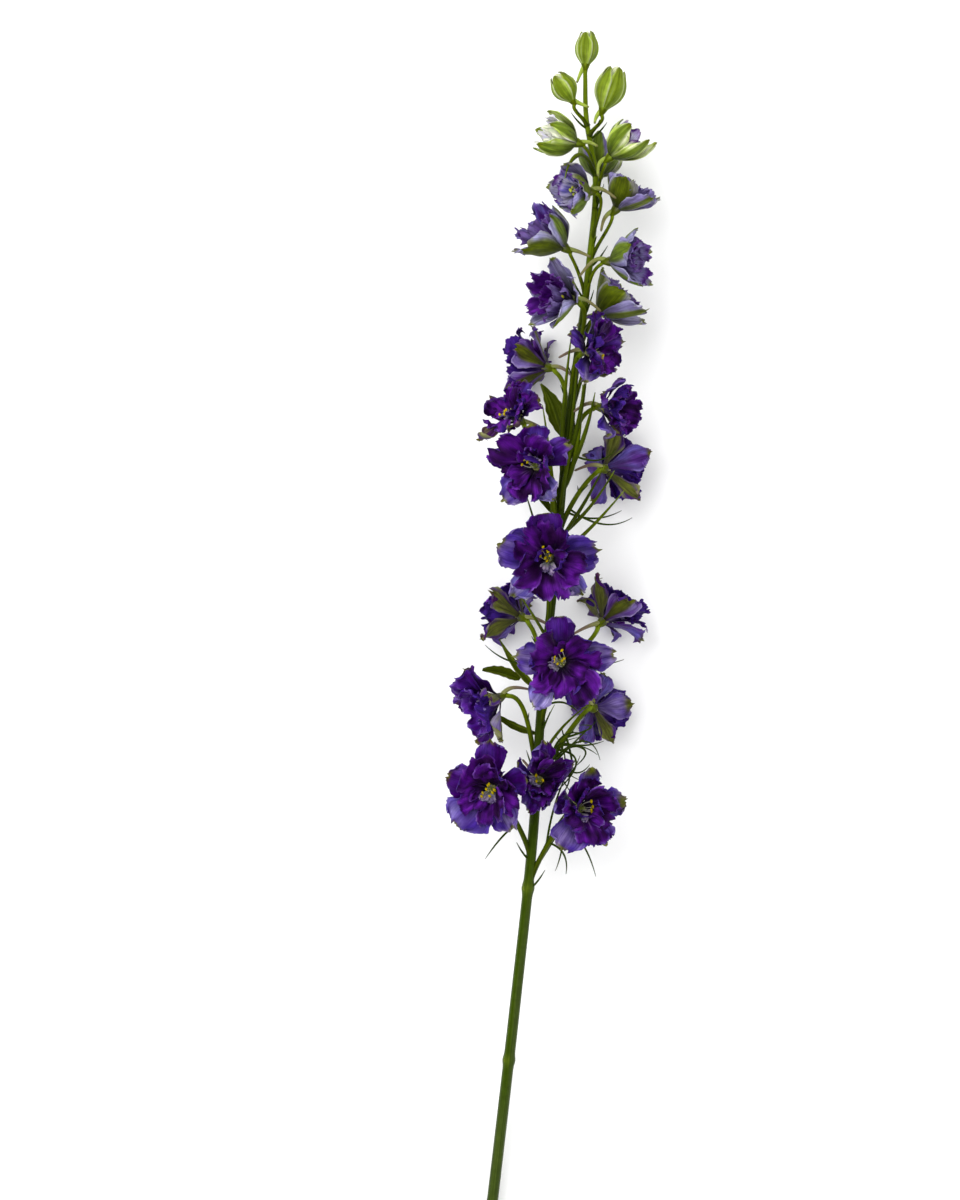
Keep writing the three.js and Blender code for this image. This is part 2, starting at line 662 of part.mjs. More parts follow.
const threadRadius = (t) => THREAD_RADIUS * (1 - THREAD_TAPER * t);

// A thread-like bract: out from its root, then curling towards the tip of the spike.
function thread(root, heading, length, curl) {
  const way = heading.clone().normalize();
  const lead = root.clone().addScaledVector(way, 0.4 * length);
  const tip = root.clone().addScaledVector(way, 0.8 * length);
  tip.y += curl * length;
  const curve = new THREE.QuadraticBezierCurve3(root, lead, tip);
  return rod(curve, threadRadius, THREAD_SIDES, THREAD_STEPS, true);
}

// The stalk of a bloom and its bracts.
function stalkParts(bloom) {
  const random = seededRandom(bloom.seed + 200);
  const curve = stalkCurve(bloom);
  const young = bloom.join > YOUNG_ABOVE_Y;
  const { radius, steps } = young ? YOUNG_STALK : OLD_STALK;
  const radiusAt = (t) => radius * (STALK_FOOT + (STALK_END - STALK_FOOT) * t);
  const outward = curve.getPointAt(0.5).sub(curve.getPointAt(0));
  outward.y *= 0.3;
  const way = random() < 0.5 ? 1 : -1;
  const bractLength = bloom.shortBract ? SHORT_BRACT_LENGTH : BRACT_LENGTH + BRACT_EXTRA * random();
  const parts = [
    rod(curve, radiusAt, STALK_SIDES, steps),
    thread(stemPoint(bloom.join - 1), outward, bractLength, BRACT_CURL),
  ];
  if (!young) {
    const root = curve.getPointAt(SIDE_BRACT_AT);
    const heading = curve.getTangentAt(SIDE_BRACT_AT).multiplyScalar(0.8);
    heading.addScaledVector(bloom.side, 0.7 * way);
    const length = SIDE_BRACT_LENGTH + SIDE_BRACT_EXTRA * random();
    parts.push(thread(root, heading, length, SIDE_BRACT_CURL));
  }
  return parts;
}

// A long thread that springs from the stalk of the named bloom.
function longThread({ bloom, at, via, tip }) {
  const owner = ALL_BLOOMS.find(({ name }) => name === bloom);
  const root = stalkCurve(owner).getPointAt(at);
  const curve = new THREE.QuadraticBezierCurve3(root, vector(via), vector(tip));
  return rod(curve, threadRadius, THREAD_SIDES, 2 * THREAD_STEPS, true);
}

function stem() {
  const radiusAt = (t) => along(STEM_RADII, CUT_END_Y + (STEM_TOP_Y - CUT_END_Y) * t);
  const parts = [rod(stemCurve, radiusAt, STEM_SIDES, STEM_STEPS)];
  for (const { y, radius } of STEM_KNOTS) {
    const knot = new THREE.SphereGeometry(radius, KNOT_SIDES, KNOT_RINGS);
    const at = stemPoint(y);
    knot.scale(1, KNOT_STRETCH, 1).translate(at.x, at.y, at.z);
    parts.push(solidFrom(knot));
  }
  const stalked = ALL_BLOOMS.filter((bloom) => bloom.join !== null);
  return fuse([...parts, ...stalked.flatMap(stalkParts), ...LONG_THREADS.map(longThread)]);
}

// ---------------------------------------------------------------------------- the assembled spike

const spike = new THREE.Group();

function addNode(name, solid, color, roughness) {
  const mesh = solid.getMesh();
  const geometry = new THREE.BufferGeometry();
  geometry.setAttribute('position', new THREE.BufferAttribute(new Float32Array(mesh.vertProperties), 3));
  geometry.setIndex(new THREE.BufferAttribute(new Uint32Array(mesh.triVerts), 1));
  geometry.computeVertexNormals();
  const node = new THREE.Mesh(geometry, new THREE.MeshStandardMaterial({ color, roughness, metalness: 0 }));
  node.name = name;
  spike.add(node);
}

addNode('stem', stem(), STEM_GREEN, 0.6);
for (const bloom of BUDS) addNode(bloom.name, bud(bloom), BUD_GREEN, 0.6);
for (const bloom of OPENING) {
  const { name, length } = bloom;
  addNode(name, youngBloom(bloom, OPENING_SEPALS(length), OPENING_PETALS(length)), BUD_GREEN, 0.6);
}
for (const bloom of HALF_OPEN) {
  const { name, length } = bloom;
  addNode(name, youngBloom(bloom, HALF_SEPALS(length), HALF_PETALS(length)), HALF_OPEN_VIOLET, 0.55);
}
for (const bloom of FLORETS) {
  const { name, radius, open } = bloom;
  const head = flowerHead(bloom, FLORET_SEPALS(radius, open), FLORET_PETALS(radius, open));
  addNode(`${name}_petals`, fuse(head), PETAL_VIOLET, 0.5);
  const back = [cup(bloom, CUP_FRONT, 0.9 * CUP_RADIUS), spur(bloom)];
  addNode(`${name}_spur`, fuse(back), SPUR_OLIVE, 0.6);
  addNode(`${name}_stamens`, stamens(bloom), ANTHER_YELLOW, 0.7);
}

export default spike;
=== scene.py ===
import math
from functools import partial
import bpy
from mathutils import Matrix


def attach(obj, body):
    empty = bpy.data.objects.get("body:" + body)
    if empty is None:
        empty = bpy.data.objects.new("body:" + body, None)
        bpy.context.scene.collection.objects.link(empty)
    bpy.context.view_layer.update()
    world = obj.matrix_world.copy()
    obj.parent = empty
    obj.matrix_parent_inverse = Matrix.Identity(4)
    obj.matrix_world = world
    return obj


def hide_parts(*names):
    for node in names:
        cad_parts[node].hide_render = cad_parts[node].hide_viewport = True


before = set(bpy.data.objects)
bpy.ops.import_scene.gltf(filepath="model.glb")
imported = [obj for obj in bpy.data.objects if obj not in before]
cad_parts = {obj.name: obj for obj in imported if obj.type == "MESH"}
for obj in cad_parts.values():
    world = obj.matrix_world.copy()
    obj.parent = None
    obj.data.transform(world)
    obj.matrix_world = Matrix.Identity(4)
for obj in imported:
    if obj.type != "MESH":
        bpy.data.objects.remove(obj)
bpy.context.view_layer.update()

# Looks of a cut spike of double larkspur (garden delphinium) that lies on a pale surface.
#
# Every bloom follows the same lines as its CAD solid, with finer and more petals, ragged edges,
# veins, stamens and bracts. Tables and shapes are in millimetres in the row frame, angles in
# degrees, colours in sRGB from 0 to 255; make() turns them into metres and linear colour.
from types import SimpleNamespace

import bpy
import numpy as np

MM = 0.001

# ---------- sizes, as in the CAD

STEM_LINE = [
    (-0.2, -8, 1.9), (0.2, 14, 1.9), (5.6, 60, 6), (14.4, 138, 15), (21.2, 204, 22.5),
    (24.8, 260, 26.5), (30.4, 316, 28), (35.2, 368, 28), (44, 436, 27), (46.4, 468, 26),
    (42.6, 494, 25.5), (42.2, 511.2, 25.5),
]
STEM_RADII = [(-8, 2.25), (100, 2.2), (200, 2.0), (260, 1.8), (400, 1.5), (450, 1.35), (511, 0.85)]
# Swellings of the stem: height along Y, extra radius, half length.
STEM_KNOTS = [(184, 0.55, 2.2), (113.6, 0.45, 1.8)]

YOUNG_ABOVE_Y = 400
YOUNG_STALK_RADIUS = 0.7
OLD_STALK_RADIUS = 0.95
FINE_RIBS = {"ribs": 5, "rib_depth": 0.06}
STALK_END_BACK = 3.65
STALK_END_ASIDE = 0.95
# How far behind a bloom's base its stalk and the stem's tip end, inside its cup.
STALK_INSIDE_BACK = 2.4
STEM_INSIDE_BACK = 2.6

THREAD_RADIUS = 0.42
ROOT_RING = 2.2
ROOT_START = 0.85
BLADE_ROOT_HALF = 1.3
SEPAL_LEVEL = 0.9
PETAL_LEVEL = 2.1
INNER_LEVEL = 2.6
CUP_BACK = -3.3
STAMEN_BASE = 2.95
FLAKE_LEVEL = 3.0

# Stamens and carpels of the florets, and of younger blooms; the spread is in degrees.
STAMEN_LENGTH = 5.4
STAMEN_SPREAD = 36
CARPEL_RADIUS = 0.42
YOUNG_STAMENS = 5
YOUNG_STAMEN_SHARE = 0.28
YOUNG_STAMEN_SPREAD = 12
YOUNG_CARPEL_RADIUS = 1.0

FLORET_MIDDLE = 4
DEEP_MIDDLE = 0.45
NEIGHBOUR_RANGE = 2.2
NEIGHBOUR_ROOM = 0.8
PRESS_SOFTNESS = 4
FLOOR_SOFTNESS = 1.5
FLOOR_LEVEL = 0.22
# The lowest that any middle of a petal may lie, so that its underside just clears the surface.
FLOOR_LOWEST = 0.25

# What is added to a bloom's number for the draws of its parts, so that each has its own stream.
STAMEN_SEED = 100
STALK_SEED = 200
DETAIL_SEED = 300
BRACT_SEED = 400

# The blooms from the tip down: name, base, facing, length or radius, width of a bud or how far a
# floret has opened, where along Y its stalk joins the stem, and the way from its base to its spur's tip.
BUDS = [
    ("bud_1", (42.4, 515.4, 25.5), (0.05, 1, 0.02), 13, 9.2, None, (-3.5, -8, 1)),
    ("bud_2", (36.4, 501, 28), (-0.54, 0.84, 0.15), 11.5, 10, 490, (7, -4, 3)),
    ("bud_3", (49.4, 497, 28), (0.32, 0.93, 0.15), 17.5, 12, 486, (-3.6, -6.5, 3)),
]
OPENING = [
    ("opening_4", (38.8, 482.8, 30), (-0.93, 0.25, 0.27), 18, 1, 470, (8, -2, 5)),
    ("opening_5", (52, 477, 30), (0.72, 0.65, 0.25), 18.5, 1, 457, (-5, -8, 5)),
    ("opening_6", (48, 471, 19), (0.1, 0.85, -0.5), 18, 1, 456, (-5, -8, 2)),
]
HALF_OPEN = [
    ("half_7", (43.6, 462.8, 34), (-0.85, -0.05, 0.5), 18, 1, 442, (10.5, -3, 3)),
    ("half_8", (54.4, 456.4, 28), (0.6, 0.78, 0.1), 19, 1, 434, (-6, -9, 3)),
    ("half_9", (34, 440.8, 30), (-0.75, 0.6, 0.25), 21, 1, 421, (10, -4, 4)),
    ("half_10", (51.6, 435.2, 32), (0.93, 0.05, 0.35), 19, 1, 413, (-12, -6.4, 3)),
    ("half_11", (37.2, 419, 38), (-0.75, 0.1, 0.65), 20.5, 1, 391, (11, -4, -4)),
    ("half_12", (47.2, 414.6, 24), (0.8, 0.58, 0), 20.5, 1, 396, (-8, -4, -7)),
]
FLORETS = [
    ("floret_13", (27.6, 394, 14), (-0.84, 0.25, -0.4), 19, 0.62, 364, (10, -4, 4)),
    ("floret_14", (42.4, 398.8, 34), (0.68, 0.05, 0.7), 16.5, 0.9, 376, (-11, -2, -3)),
    ("floret_15", (48.4, 377, 30), (0.88, -0.1, 0.42), 16.5, 0.85, 350, (-11, -2, 4)),
    ("floret_16", (23.4, 353, 42), (-0.48, 0, 0.88), 20.5, 0.95, 316, (6, 2, -12)),
    ("floret_16b", (16, 372, 30), (-0.6, 0.55, 0.5), 17.5, 0.9, 338, (12, -5, -3)),
    ("floret_17", (50, 353, 17), (0.68, 0.05, -0.73), 20, 0.9, 326, (-12, -1, 6)),
    ("floret_18", (27.4, 317, 43), (-0.06, -0.18, 0.98), 22, 1, 286, (-7, 4, -10)),
    ("floret_19", (49.2, 291, 16), (0.64, 0.6, -0.45), 19.5, 0.8, 262, (-12, -5, 3)),
    ("floret_20", (17, 293, 16), (-0.76, 0.4, -0.45), 20, 0.85, 266, (12, -4, 3)),
    ("floret_21", (32, 275.6, 43), (0.05, -0.12, 0.99), 21.5, 1, 248, (3, 6, -12)),
    ("floret_22", (45.6, 256.4, 14), (0.4, -0.2, -0.9), 17, 0.85, 222, (-3, 4, 13)),
    ("floret_23", (8, 261, 29), (-0.8, -0.4, 0.42), 21, 0.68, 230, (12, 3, -6)),
    ("floret_24", (5, 225.6, 42), (-0.2, -0.1, 0.97), 21, 0.98, 196, (4, 4, -12)),
    ("floret_24b", (23, 228, 33), (0.25, 0.05, 0.96), 17, 0.9, 206, (-6, 8, -7)),
    ("floret_25", (39, 217.2, 36), (0.4, 0, 0.9), 19.5, 0.9, 184, (-7, 4, -11)),
]
SHORT_BRACTS = {"half_7", "half_11"}

# Long thread-like bracts: the bloom whose stalk each springs from, how far along that stalk, a
# point that it heads for and its tip. The first ones are in the CAD too, the rest only here.
LONG_THREADS = [
    ("floret_25", 0.5, (36, 200, 27), (34.5, 190, 25)),
    ("floret_25", 0.75, (42, 206, 29), (46.5, 189, 24)),
    ("floret_22", 0.35, (31, 250, 31), (43, 246, 27)),
    ("floret_22", 0.5, (50, 242, 26), (37, 232, 22)),
    ("floret_22", 0.55, (42, 240, 20), (50, 243, 16)),
    ("floret_17", 0.35, (50, 326, 28), (61, 333, 27)),
    ("floret_17", 0.3, (46, 330, 24), (57, 336, 20)),
    ("floret_15", 0.3, (48, 352, 32), (54, 360, 38)),
    ("opening_4", 0.3, (41, 481, 34), (36, 473.5, 35)),
    ("floret_19", 0.4, (46, 272, 24), (58, 276, 20)),
    ("floret_20", 0.35, (12, 272, 22), (2, 282, 26)),
    ("floret_22", 0.2, (34, 240, 33), (47, 252, 30)),
    ("floret_22", 0.3, (44, 252, 33), (48, 236, 30)),
    ("floret_22", 0.42, (30, 238, 24), (42, 254, 22)),
    ("floret_22", 0.6, (52, 250, 22), (40, 250, 30)),
    ("floret_22", 0.15, (40, 232, 30), (30, 246, 32)),
    ("floret_25", 0.2, (38, 216, 24), (44, 232, 22)),
    ("floret_25", 0.3, (30, 212, 20), (46, 226, 18)),
    ("floret_25", 0.85, (33, 198, 31), (30, 192, 34)),
    ("floret_24", 0.4, (10, 208, 28), (2, 196, 26)),
    ("floret_22", 0.25, (36, 247, 32), (47, 238, 28)),
    ("floret_22", 0.45, (47, 238, 30), (29, 222, 31)),
    ("floret_22", 0.35, (29, 229, 32), (28, 219, 30)),
    ("floret_22", 0.5, (27, 236, 30), (37, 222, 26)),
    ("floret_22", 0.3, (42, 232, 30), (31, 220, 27)),
    ("floret_22", 0.22, (27, 243, 33), (39, 245, 31)),
    ("floret_22", 0.6, (33, 240, 24), (29, 226, 30)),
    ("floret_25", 0.45, (29, 222, 32), (38, 236, 28)),
    ("floret_22", 0.4, (38, 226, 31), (44, 234, 26)),
    ("floret_21", 0.3, (34, 262, 28), (40, 254, 24)),
    ("floret_22", 0.48, (30, 232, 32), (40, 228, 31)),
    ("floret_22", 0.3, (34, 222, 31), (40, 238, 33)),
    ("floret_22", 0.62, (41, 224, 29), (30, 234, 33)),
]

# Leaves and leafy sepals behind the blooms: root, a point on the way, tip, half width and facing.
LEAVES = [
    ((32.5, 366, 25), (31, 378, 22), (24.5, 387, 21), 3.6, (0, 0.2, 1)),
    ((30, 334, 25), (22, 344, 22), (17, 356, 24), 1.6, (0.2, 0.2, 1)),
    ((16, 268, 19), (8, 272, 22), (1, 272, 26), 2.6, (0, 0.5, 1)),
    ((28, 300, 24), (36, 312, 22), (40, 324, 24), 1.3, (0, 0.2, 1)),
    ((25, 262, 24), (15, 270, 20), (8, 284, 18), 1.5, (0.2, 0.2, 1)),
    ((24, 246, 23), (12, 248, 20), (4, 256, 17), 1.4, (0.2, 0.2, 1)),
]
# Slim green bracts that run up beside the stem: root, two points on the way, tip and radius.
SLIM_BRACTS = [
    ((31, 322, 29), (36, 330, 31), (43, 340, 31), (50, 354, 24), 0.75),
    ((31, 325, 28), (38, 330, 29), (46, 338, 30), (54, 352, 24), 0.7),
    ((30.5, 318, 29), (38, 322, 30), (46, 330, 30), (58, 344, 22), 0.7),
    ((34, 352, 29), (38, 364, 33), (41, 376, 35), (43, 396, 33), 1.0),
    ((34, 348, 29), (40, 360, 33), (43, 368, 34), (46, 383, 30), 0.95),
    ((33, 344, 28), (38, 352, 32), (40, 366, 33), (41, 386, 32), 0.9),
    ((33, 350, 28), (32, 362, 32), (33, 374, 33), (35, 394, 30), 0.9),
    ((32, 336, 29), (33, 348, 33), (36, 360, 33), (40, 372, 28), 0.8),
    ((31.5, 326, 27), (29, 342, 31), (28, 360, 32), (25, 378, 28), 0.8),
    ((33.5, 346, 27), (36.5, 362, 31), (38, 382, 32), (39.5, 404, 31), 0.85),
    ((34, 356, 27), (32, 370, 31), (34, 386, 33), (36.5, 406, 33), 0.8),
    ((30, 306, 27), (26, 318, 30), (22, 330, 30), (18, 344, 26), 0.65),
    ((36, 372, 27), (39, 386, 31), (44, 398, 33), (47, 410, 32), 0.8),
    ((27, 284, 28), (24, 290, 25), (20, 296, 22), (16, 302, 20), 0.6),
    ((24, 254, 27), (28, 262, 30), (34, 266, 30), (42, 268, 25), 0.6),
    ((22, 226, 25), (24, 240, 28), (32, 250, 28), (44, 258, 18), 0.65),
    ((21.6, 214, 24), (24, 226, 27), (30, 240, 26), (40, 252, 20), 0.6),
    ((22, 218, 24), (21, 236, 27), (24, 248, 28), (30, 258, 24), 0.6),
    ((46, 471, 26), (42, 481, 34), (36, 479, 40), (33.6, 467, 42), 0.8),
]

# ---------- colours

DEEP_PURPLE = (27, 2, 40)
PURPLE = (50, 2, 86)
MAGENTA_PURPLE = (84, 14, 126)
# LIT_VIOLET is painted light, laid on the lower petals of a bloom.
LIT_VIOLET = (120, 50, 172)
ROYAL_BLUE = (54, 33, 118)
BLUE_LAVENDER = (86, 78, 150)
LAVENDER = (110, 98, 150)
PALE_LAVENDER = (142, 138, 184)
WHITE_LILAC = (220, 216, 230)
FLAKE_WHITE = (208, 238, 192)
RIB_GREEN = (86, 100, 0)
DARK_GREEN = (44, 52, 2)
OLIVE = (74, 86, 2)
PALE_OLIVE = (106, 118, 38)
BUD_GREEN = (104, 128, 30)
YELLOW_GREEN = (154, 178, 58)
CREAM_GREEN = (208, 214, 162)
STEM_GREEN = (44, 62, 0)
STEM_DARK = (30, 40, 2)
STEM_GREY = (52, 65, 26)
PITH = (206, 214, 178)
SPUR_PALE = (140, 142, 96)
SPUR_MAUVE = (118, 96, 96)
BUD_TIP = (96, 92, 58)
ANTHER_YELLOW = (206, 184, 16)
ANTHER_BROWN = (146, 126, 10)
YOUNG_ANTHER = (186, 196, 74)
FILAMENT_PALE = (214, 214, 206)

# Colours of a bloom's blades; lit is painted light for its lower petals. rib_width is how much of the
# half width the green rib takes up.
FLORET_LOOK = dict(
    petal=DEEP_PURPLE, petal_light=PURPLE, petal_back=ROYAL_BLUE, throat=LAVENDER,
    bright=MAGENTA_PURPLE, lit=LIT_VIOLET,
    sepal=PURPLE, sepal_light=ROYAL_BLUE, sepal_back=BLUE_LAVENDER, margin=LAVENDER,
    rib=OLIVE, rib_width=0.42,
)
HALF_LOOK = dict(
    petal=PURPLE, petal_light=ROYAL_BLUE, petal_back=LAVENDER, throat=CREAM_GREEN,
    bright=BLUE_LAVENDER, lit=LAVENDER,
    sepal=LAVENDER, sepal_light=PALE_LAVENDER, sepal_back=LAVENDER, margin=PALE_LAVENDER,
    rib=RIB_GREEN, rib_width=0.8,
)
OPENING_LOOK = dict(
    petal=WHITE_LILAC, petal_light=CREAM_GREEN, petal_back=CREAM_GREEN, throat=CREAM_GREEN,
    bright=WHITE_LILAC, lit=CREAM_GREEN,
    sepal=YELLOW_GREEN, sepal_light=CREAM_GREEN, sepal_back=YELLOW_GREEN, margin=CREAM_GREEN,
    rib=BUD_GREEN, rib_width=1.0,
)
BUD_LOOK = dict(OPENING_LOOK, rib_width=0.9)
KIND_LOOKS = {"floret": FLORET_LOOK, "half": HALF_LOOK, "opening": OPENING_LOOK, "bud": BUD_LOOK}
OWN_LOOKS = {
    "opening_5": dict(OPENING_LOOK, petal_light=WHITE_LILAC, petal_tip=PURPLE, rib_width=0.75),
    "opening_6": dict(OPENING_LOOK, sepal_back=LAVENDER, margin=LAVENDER, rib_width=0.8),
    "half_7": dict(
        HALF_LOOK, petal=BLUE_LAVENDER, petal_light=WHITE_LILAC, petal_back=PALE_LAVENDER,
        bright=LAVENDER, petal_tip=PURPLE, frost=0.3,
    ),
    "half_8": dict(HALF_LOOK, petal=LAVENDER, petal_light=PALE_LAVENDER, petal_tip=LAVENDER),
    "half_9": dict(HALF_LOOK, petal=PURPLE, petal_light=BLUE_LAVENDER, rib_width=1.0),
    "half_10": dict(HALF_LOOK, petal=LAVENDER, petal_light=PALE_LAVENDER, petal_tip=PURPLE),
    "half_11": dict(HALF_LOOK, petal_light=PURPLE, bright=MAGENTA_PURPLE, lit=LIT_VIOLET),
    "half_12": dict(HALF_LOOK, petal_light=LAVENDER),
    "floret_23": dict(FLORET_LOOK, petal=PURPLE, petal_light=ROYAL_BLUE, frost=0.6),
}
# Sepals that differ from the others of their bloom, counted from the upper one; width and narrow
# are how wide and how pointed they are beside the others, patch is the green at their tip.
SEPAL_LOOKS = {
    "green": dict(
        sepal_back=BLUE_LAVENDER, margin=PALE_OLIVE, rib=PALE_OLIVE, sepal_light=OLIVE,
        rib_width=0.85, width=0.58, narrow=0.35,
    ),
    "pale": dict(
        sepal=BLUE_LAVENDER, sepal_light=PALE_LAVENDER, sepal_back=PALE_LAVENDER, width=0.7,
        narrow=0.2,
    ),
    "sheet": dict(
        sepal=ROYAL_BLUE, sepal_light=BLUE_LAVENDER, sepal_back=PALE_LAVENDER, width=1.35,
        long=1.1, patch=0.1,
    ),
    "dusky": dict(sepal=ROYAL_BLUE, sepal_light=LAVENDER, sepal_back=PALE_LAVENDER, width=0.8),
    "faded": dict(
        sepal=PALE_OLIVE, sepal_light=WHITE_LILAC, sepal_back=PALE_LAVENDER, rib_width=0.5,
        width=0.85, patch=0.3,
    ),
    "violet": dict(sepal_back=LAVENDER, margin=BLUE_LAVENDER, rib_width=0.0, width=0.82),
    "blue": dict(sepal=ROYAL_BLUE, sepal_light=LAVENDER, sepal_back=LAVENDER, width=1.08),
    "tipped": dict(sepal=ROYAL_BLUE, sepal_back=LAVENDER, rib_width=0.0, width=0.9, patch=0.35),
    "ribbed": dict(sepal_back=LAVENDER, rib=RIB_GREEN, rib_width=0.6, width=0.85),
    "cup": dict(sepal_back=PALE_OLIVE, margin=PALE_LAVENDER, rib_width=1.0, width=1.25),
    "cup_ribbed": dict(sepal_back=LAVENDER, margin=PALE_LAVENDER, rib_width=0.5, width=1.25),
    "cup_light": dict(
        sepal_back=PALE_LAVENDER, margin=PALE_LAVENDER, rib=BUD_GREEN, rib_width=0.8, width=1.1,
    ),
    "strap": dict(sepal_back=CREAM_GREEN, margin=PALE_LAVENDER, rib_width=0.3, width=0.5),
}
# The looks of a bloom's five sepals in turn.
OWN_SEPALS = {
    "half_7": "cup cup ribbed cup_light cup",
    "half_8": "cup_ribbed cup cup_ribbed strap cup",
    "half_9": "cup cup cup_ribbed cup cup_light",
    "half_10": "cup_light cup_light cup_light cup_light cup_light",
    "half_11": "ribbed ribbed cup_light cup_light ribbed",
    "half_12": "cup cup cup_ribbed cup cup",
    "floret_13": "ribbed ribbed ribbed ribbed ribbed",
    "floret_14": "violet violet blue faded violet",
    "floret_15": "violet violet dusky green violet",
    "floret_16": "violet violet blue pale violet",
    "floret_16b": "violet violet green green violet",
    "floret_17": "green violet green violet violet",
    "floret_18": "violet blue pale pale blue",
    "floret_19": "green ribbed violet violet green",
    "floret_20": "ribbed violet violet green green",
    "floret_21": "violet dusky pale blue dusky",
    "floret_22": "violet tipped green violet ribbed",
    "floret_23": "violet violet violet faded green",
    "floret_24": "violet violet sheet dusky violet",
    "floret_24b": "violet violet violet violet violet",
    "floret_25": "tipped violet blue violet tipped",
}
# How long a bloom's petals are beside the others of its kind.
PETAL_SHARES = {"opening_5": 0.92, "half_7": 0.88, "half_8": 0.84, "half_10": 0.86, "half_12": 0.88}
# How much further than others of its kind a bloom's petals open, in degrees.
WIDER_OPEN = {"half_7": 48, "half_11": 12, "half_8": 8}
# How many stamens show in a floret where it isn't the usual number.
TUFT_COUNTS = {
    "floret_14": 2, "floret_15": 3, "floret_16": 4, "floret_16b": 4, "floret_23": 4, "floret_24b": 3,
    "floret_25": 4,
}
TUFT_COUNT = 8
# Which side of the stamens a floret's pale flakes stand on, in degrees from its upper side.
FLAKE_TURNS = {
    "floret_14": 190, "floret_16": -50, "floret_18": 185, "floret_21": 95, "floret_23": 60,
    "floret_24": 172, "floret_24b": 100, "floret_25": 140,
}
FLAKE_TURN = 150
# Which way a bloom's stamens lean, as shares of their height along its upper and side.
STAMEN_SWAY = {
    "floret_18": (0.65, 0.15), "floret_21": (0.6, 0.4), "floret_16": (0.5, 0.3), "floret_24": (0.1, 0.1),
    "floret_25": (0.15, -0.5), "floret_24b": (0.1, 0.4),
}


# ---------- small helpers


def vec(values):
    return np.array(values, float)


def unit(vectors):
    return vectors / np.linalg.norm(vectors, axis=-1, keepdims=True)


def mix(a, b, share):
    """Between two colours, or two arrays of a colour a point, by one share or one share a point."""
    share = np.clip(np.asarray(share, float), 0, 1)[..., None]
    return vec(a) * (1 - share) + vec(b) * share


def paint(colour, *layers):
    """A colour, or one a point, under layers of other colours, each with its share."""
    for over, share in layers:
        colour = mix(colour, over, share)
    return colour


def smooth(x, low, high):
    """0 below low, 1 above high, and a soft step between."""
    t = np.clip((x - low) / (high - low), 0, 1)
    return t * t * (3 - 2 * t)


def bell(x, width):
    """1 where x is 0, and falling off to both sides."""
    return np.exp(-((x / width) ** 2))


def circle(radius, turn, height):
    """Coordinates of points round a bloom's axis."""
    return radius * np.cos(turn), radius * np.sin(turn), height


def seeded_random(seed):
    """A repeatable stream of draws between 0 and 1, the same as in the CAD."""
    state = seed * 7919 + 13

    def draw():
        nonlocal state
        state = (state * 16807) % 2147483647
        return state / 2147483647

    draw()
    draw()
    return draw


def linear(srgb):
    """sRGB from 0 to 255 as linear colour from 0 to 1."""
    c = np.asarray(srgb, float) / 255
    return np.where(c <= 0.04045, c / 12.92, ((c + 0.055) / 1.055) ** 2.4)


def add_object(name, data):
    made = bpy.data.objects.new(name, data)
    bpy.context.scene.collection.objects.link(made)
    return made


# ---------- closed shells


class Piece:
    """Gathers closed shells and makes one object of them."""

    def __init__(self):
        self.points, self.faces, self.fans, self.tints = [], [], [], []
        self.count = 0

    def add(self, points, faces, fan, tint):
        """points, fan (the coordinates that veins follow) and tint have one row a vertex, or tint is
        one colour."""
        points = np.reshape(points, (-1, 3))
        self.points.append(points)
        self.fans.append(np.reshape(fan, (-1, 3)))
        self.tints.append(np.broadcast_to(np.reshape(tint, (-1, 3)), points.shape))
        self.faces += [[index + self.count for index in face] for face in faces]
        self.count += len(points)

    def make(self, name, nodes, material):
        """The object, which stands for the CAD nodes."""
        mesh = bpy.data.meshes.new(name)
        mesh.from_pydata((np.concatenate(self.points) * MM).tolist(), [], self.faces)
        mesh.polygons.foreach_set("use_smooth", np.ones(len(mesh.polygons), bool))
        fan = mesh.attributes.new("fan", "FLOAT_VECTOR", "POINT")
        fan.data.foreach_set("vector", np.concatenate(self.fans).ravel())
        tint = mesh.attributes.new("tint", "FLOAT_COLOR", "POINT")
        colours = linear(np.concatenate(self.tints))
        tint.data.foreach_set("color", np.column_stack([colours, np.ones(len(colours))]).ravel())
        mesh.materials.append(material)
        piece = add_object(name, mesh)
        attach(piece, "root")
        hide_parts(*nodes)


def sheet_faces(rows, columns):
    """Faces of a thin closed shell: a grid of points, the same grid again for the other face, and
    the rim between them."""
    across = columns + 1
    other = (rows + 1) * across
    faces = []
    for r in range(rows):
        for c in range(columns):
            a = r * across + c
            b = a + across
            faces.append((a, a + 1, b + 1, b))
            faces.append((other + a, other + b, other + b + 1, other + a + 1))
    rim = list(range(across))
    rim += [r * across + columns for r in range(1, rows + 1)]
    rim += [rows * across + c for c in range(columns - 1, -1, -1)]
    rim += [r * across for r in range(rows - 1, 0, -1)]
    for i, j in zip(rim, rim[1:] + rim[:1]):
        faces.append((j, i, other + i, other + j))
    return faces


def sheet_grid(rows, columns):
    """u from 0 to 1 along a sheet and v from -1 to 1 across it, at each of its points."""
    return np.meshgrid(np.linspace(0, 1, rows + 1), np.linspace(-1, 1, columns + 1), indexing="ij")


def sheet_normals(points):
    """Unit normals of a grid of points, on the side that is the back of a blade."""
    normal = np.cross(np.gradient(points, axis=1), np.gradient(points, axis=0))
    return normal / np.maximum(np.linalg.norm(normal, axis=-1), 1e-9)[..., None]


def add_sheet(piece, u, v, middle, half, tone, back, front, shift=0.0):
    """A thin closed shell that reaches half its thickness to each side of its middle surface. tone
    sets its veins apart from those of other sheets, and shift its front's from its back's."""
    offset = sheet_normals(middle) * half[..., None]
    fan = np.stack([v, u, np.full_like(u, tone)], axis=-1)
    faces = sheet_faces(u.shape[0] - 1, u.shape[1] - 1)
    piece.add([middle + offset, middle - offset], faces, [fan, fan + shift], [back, front])


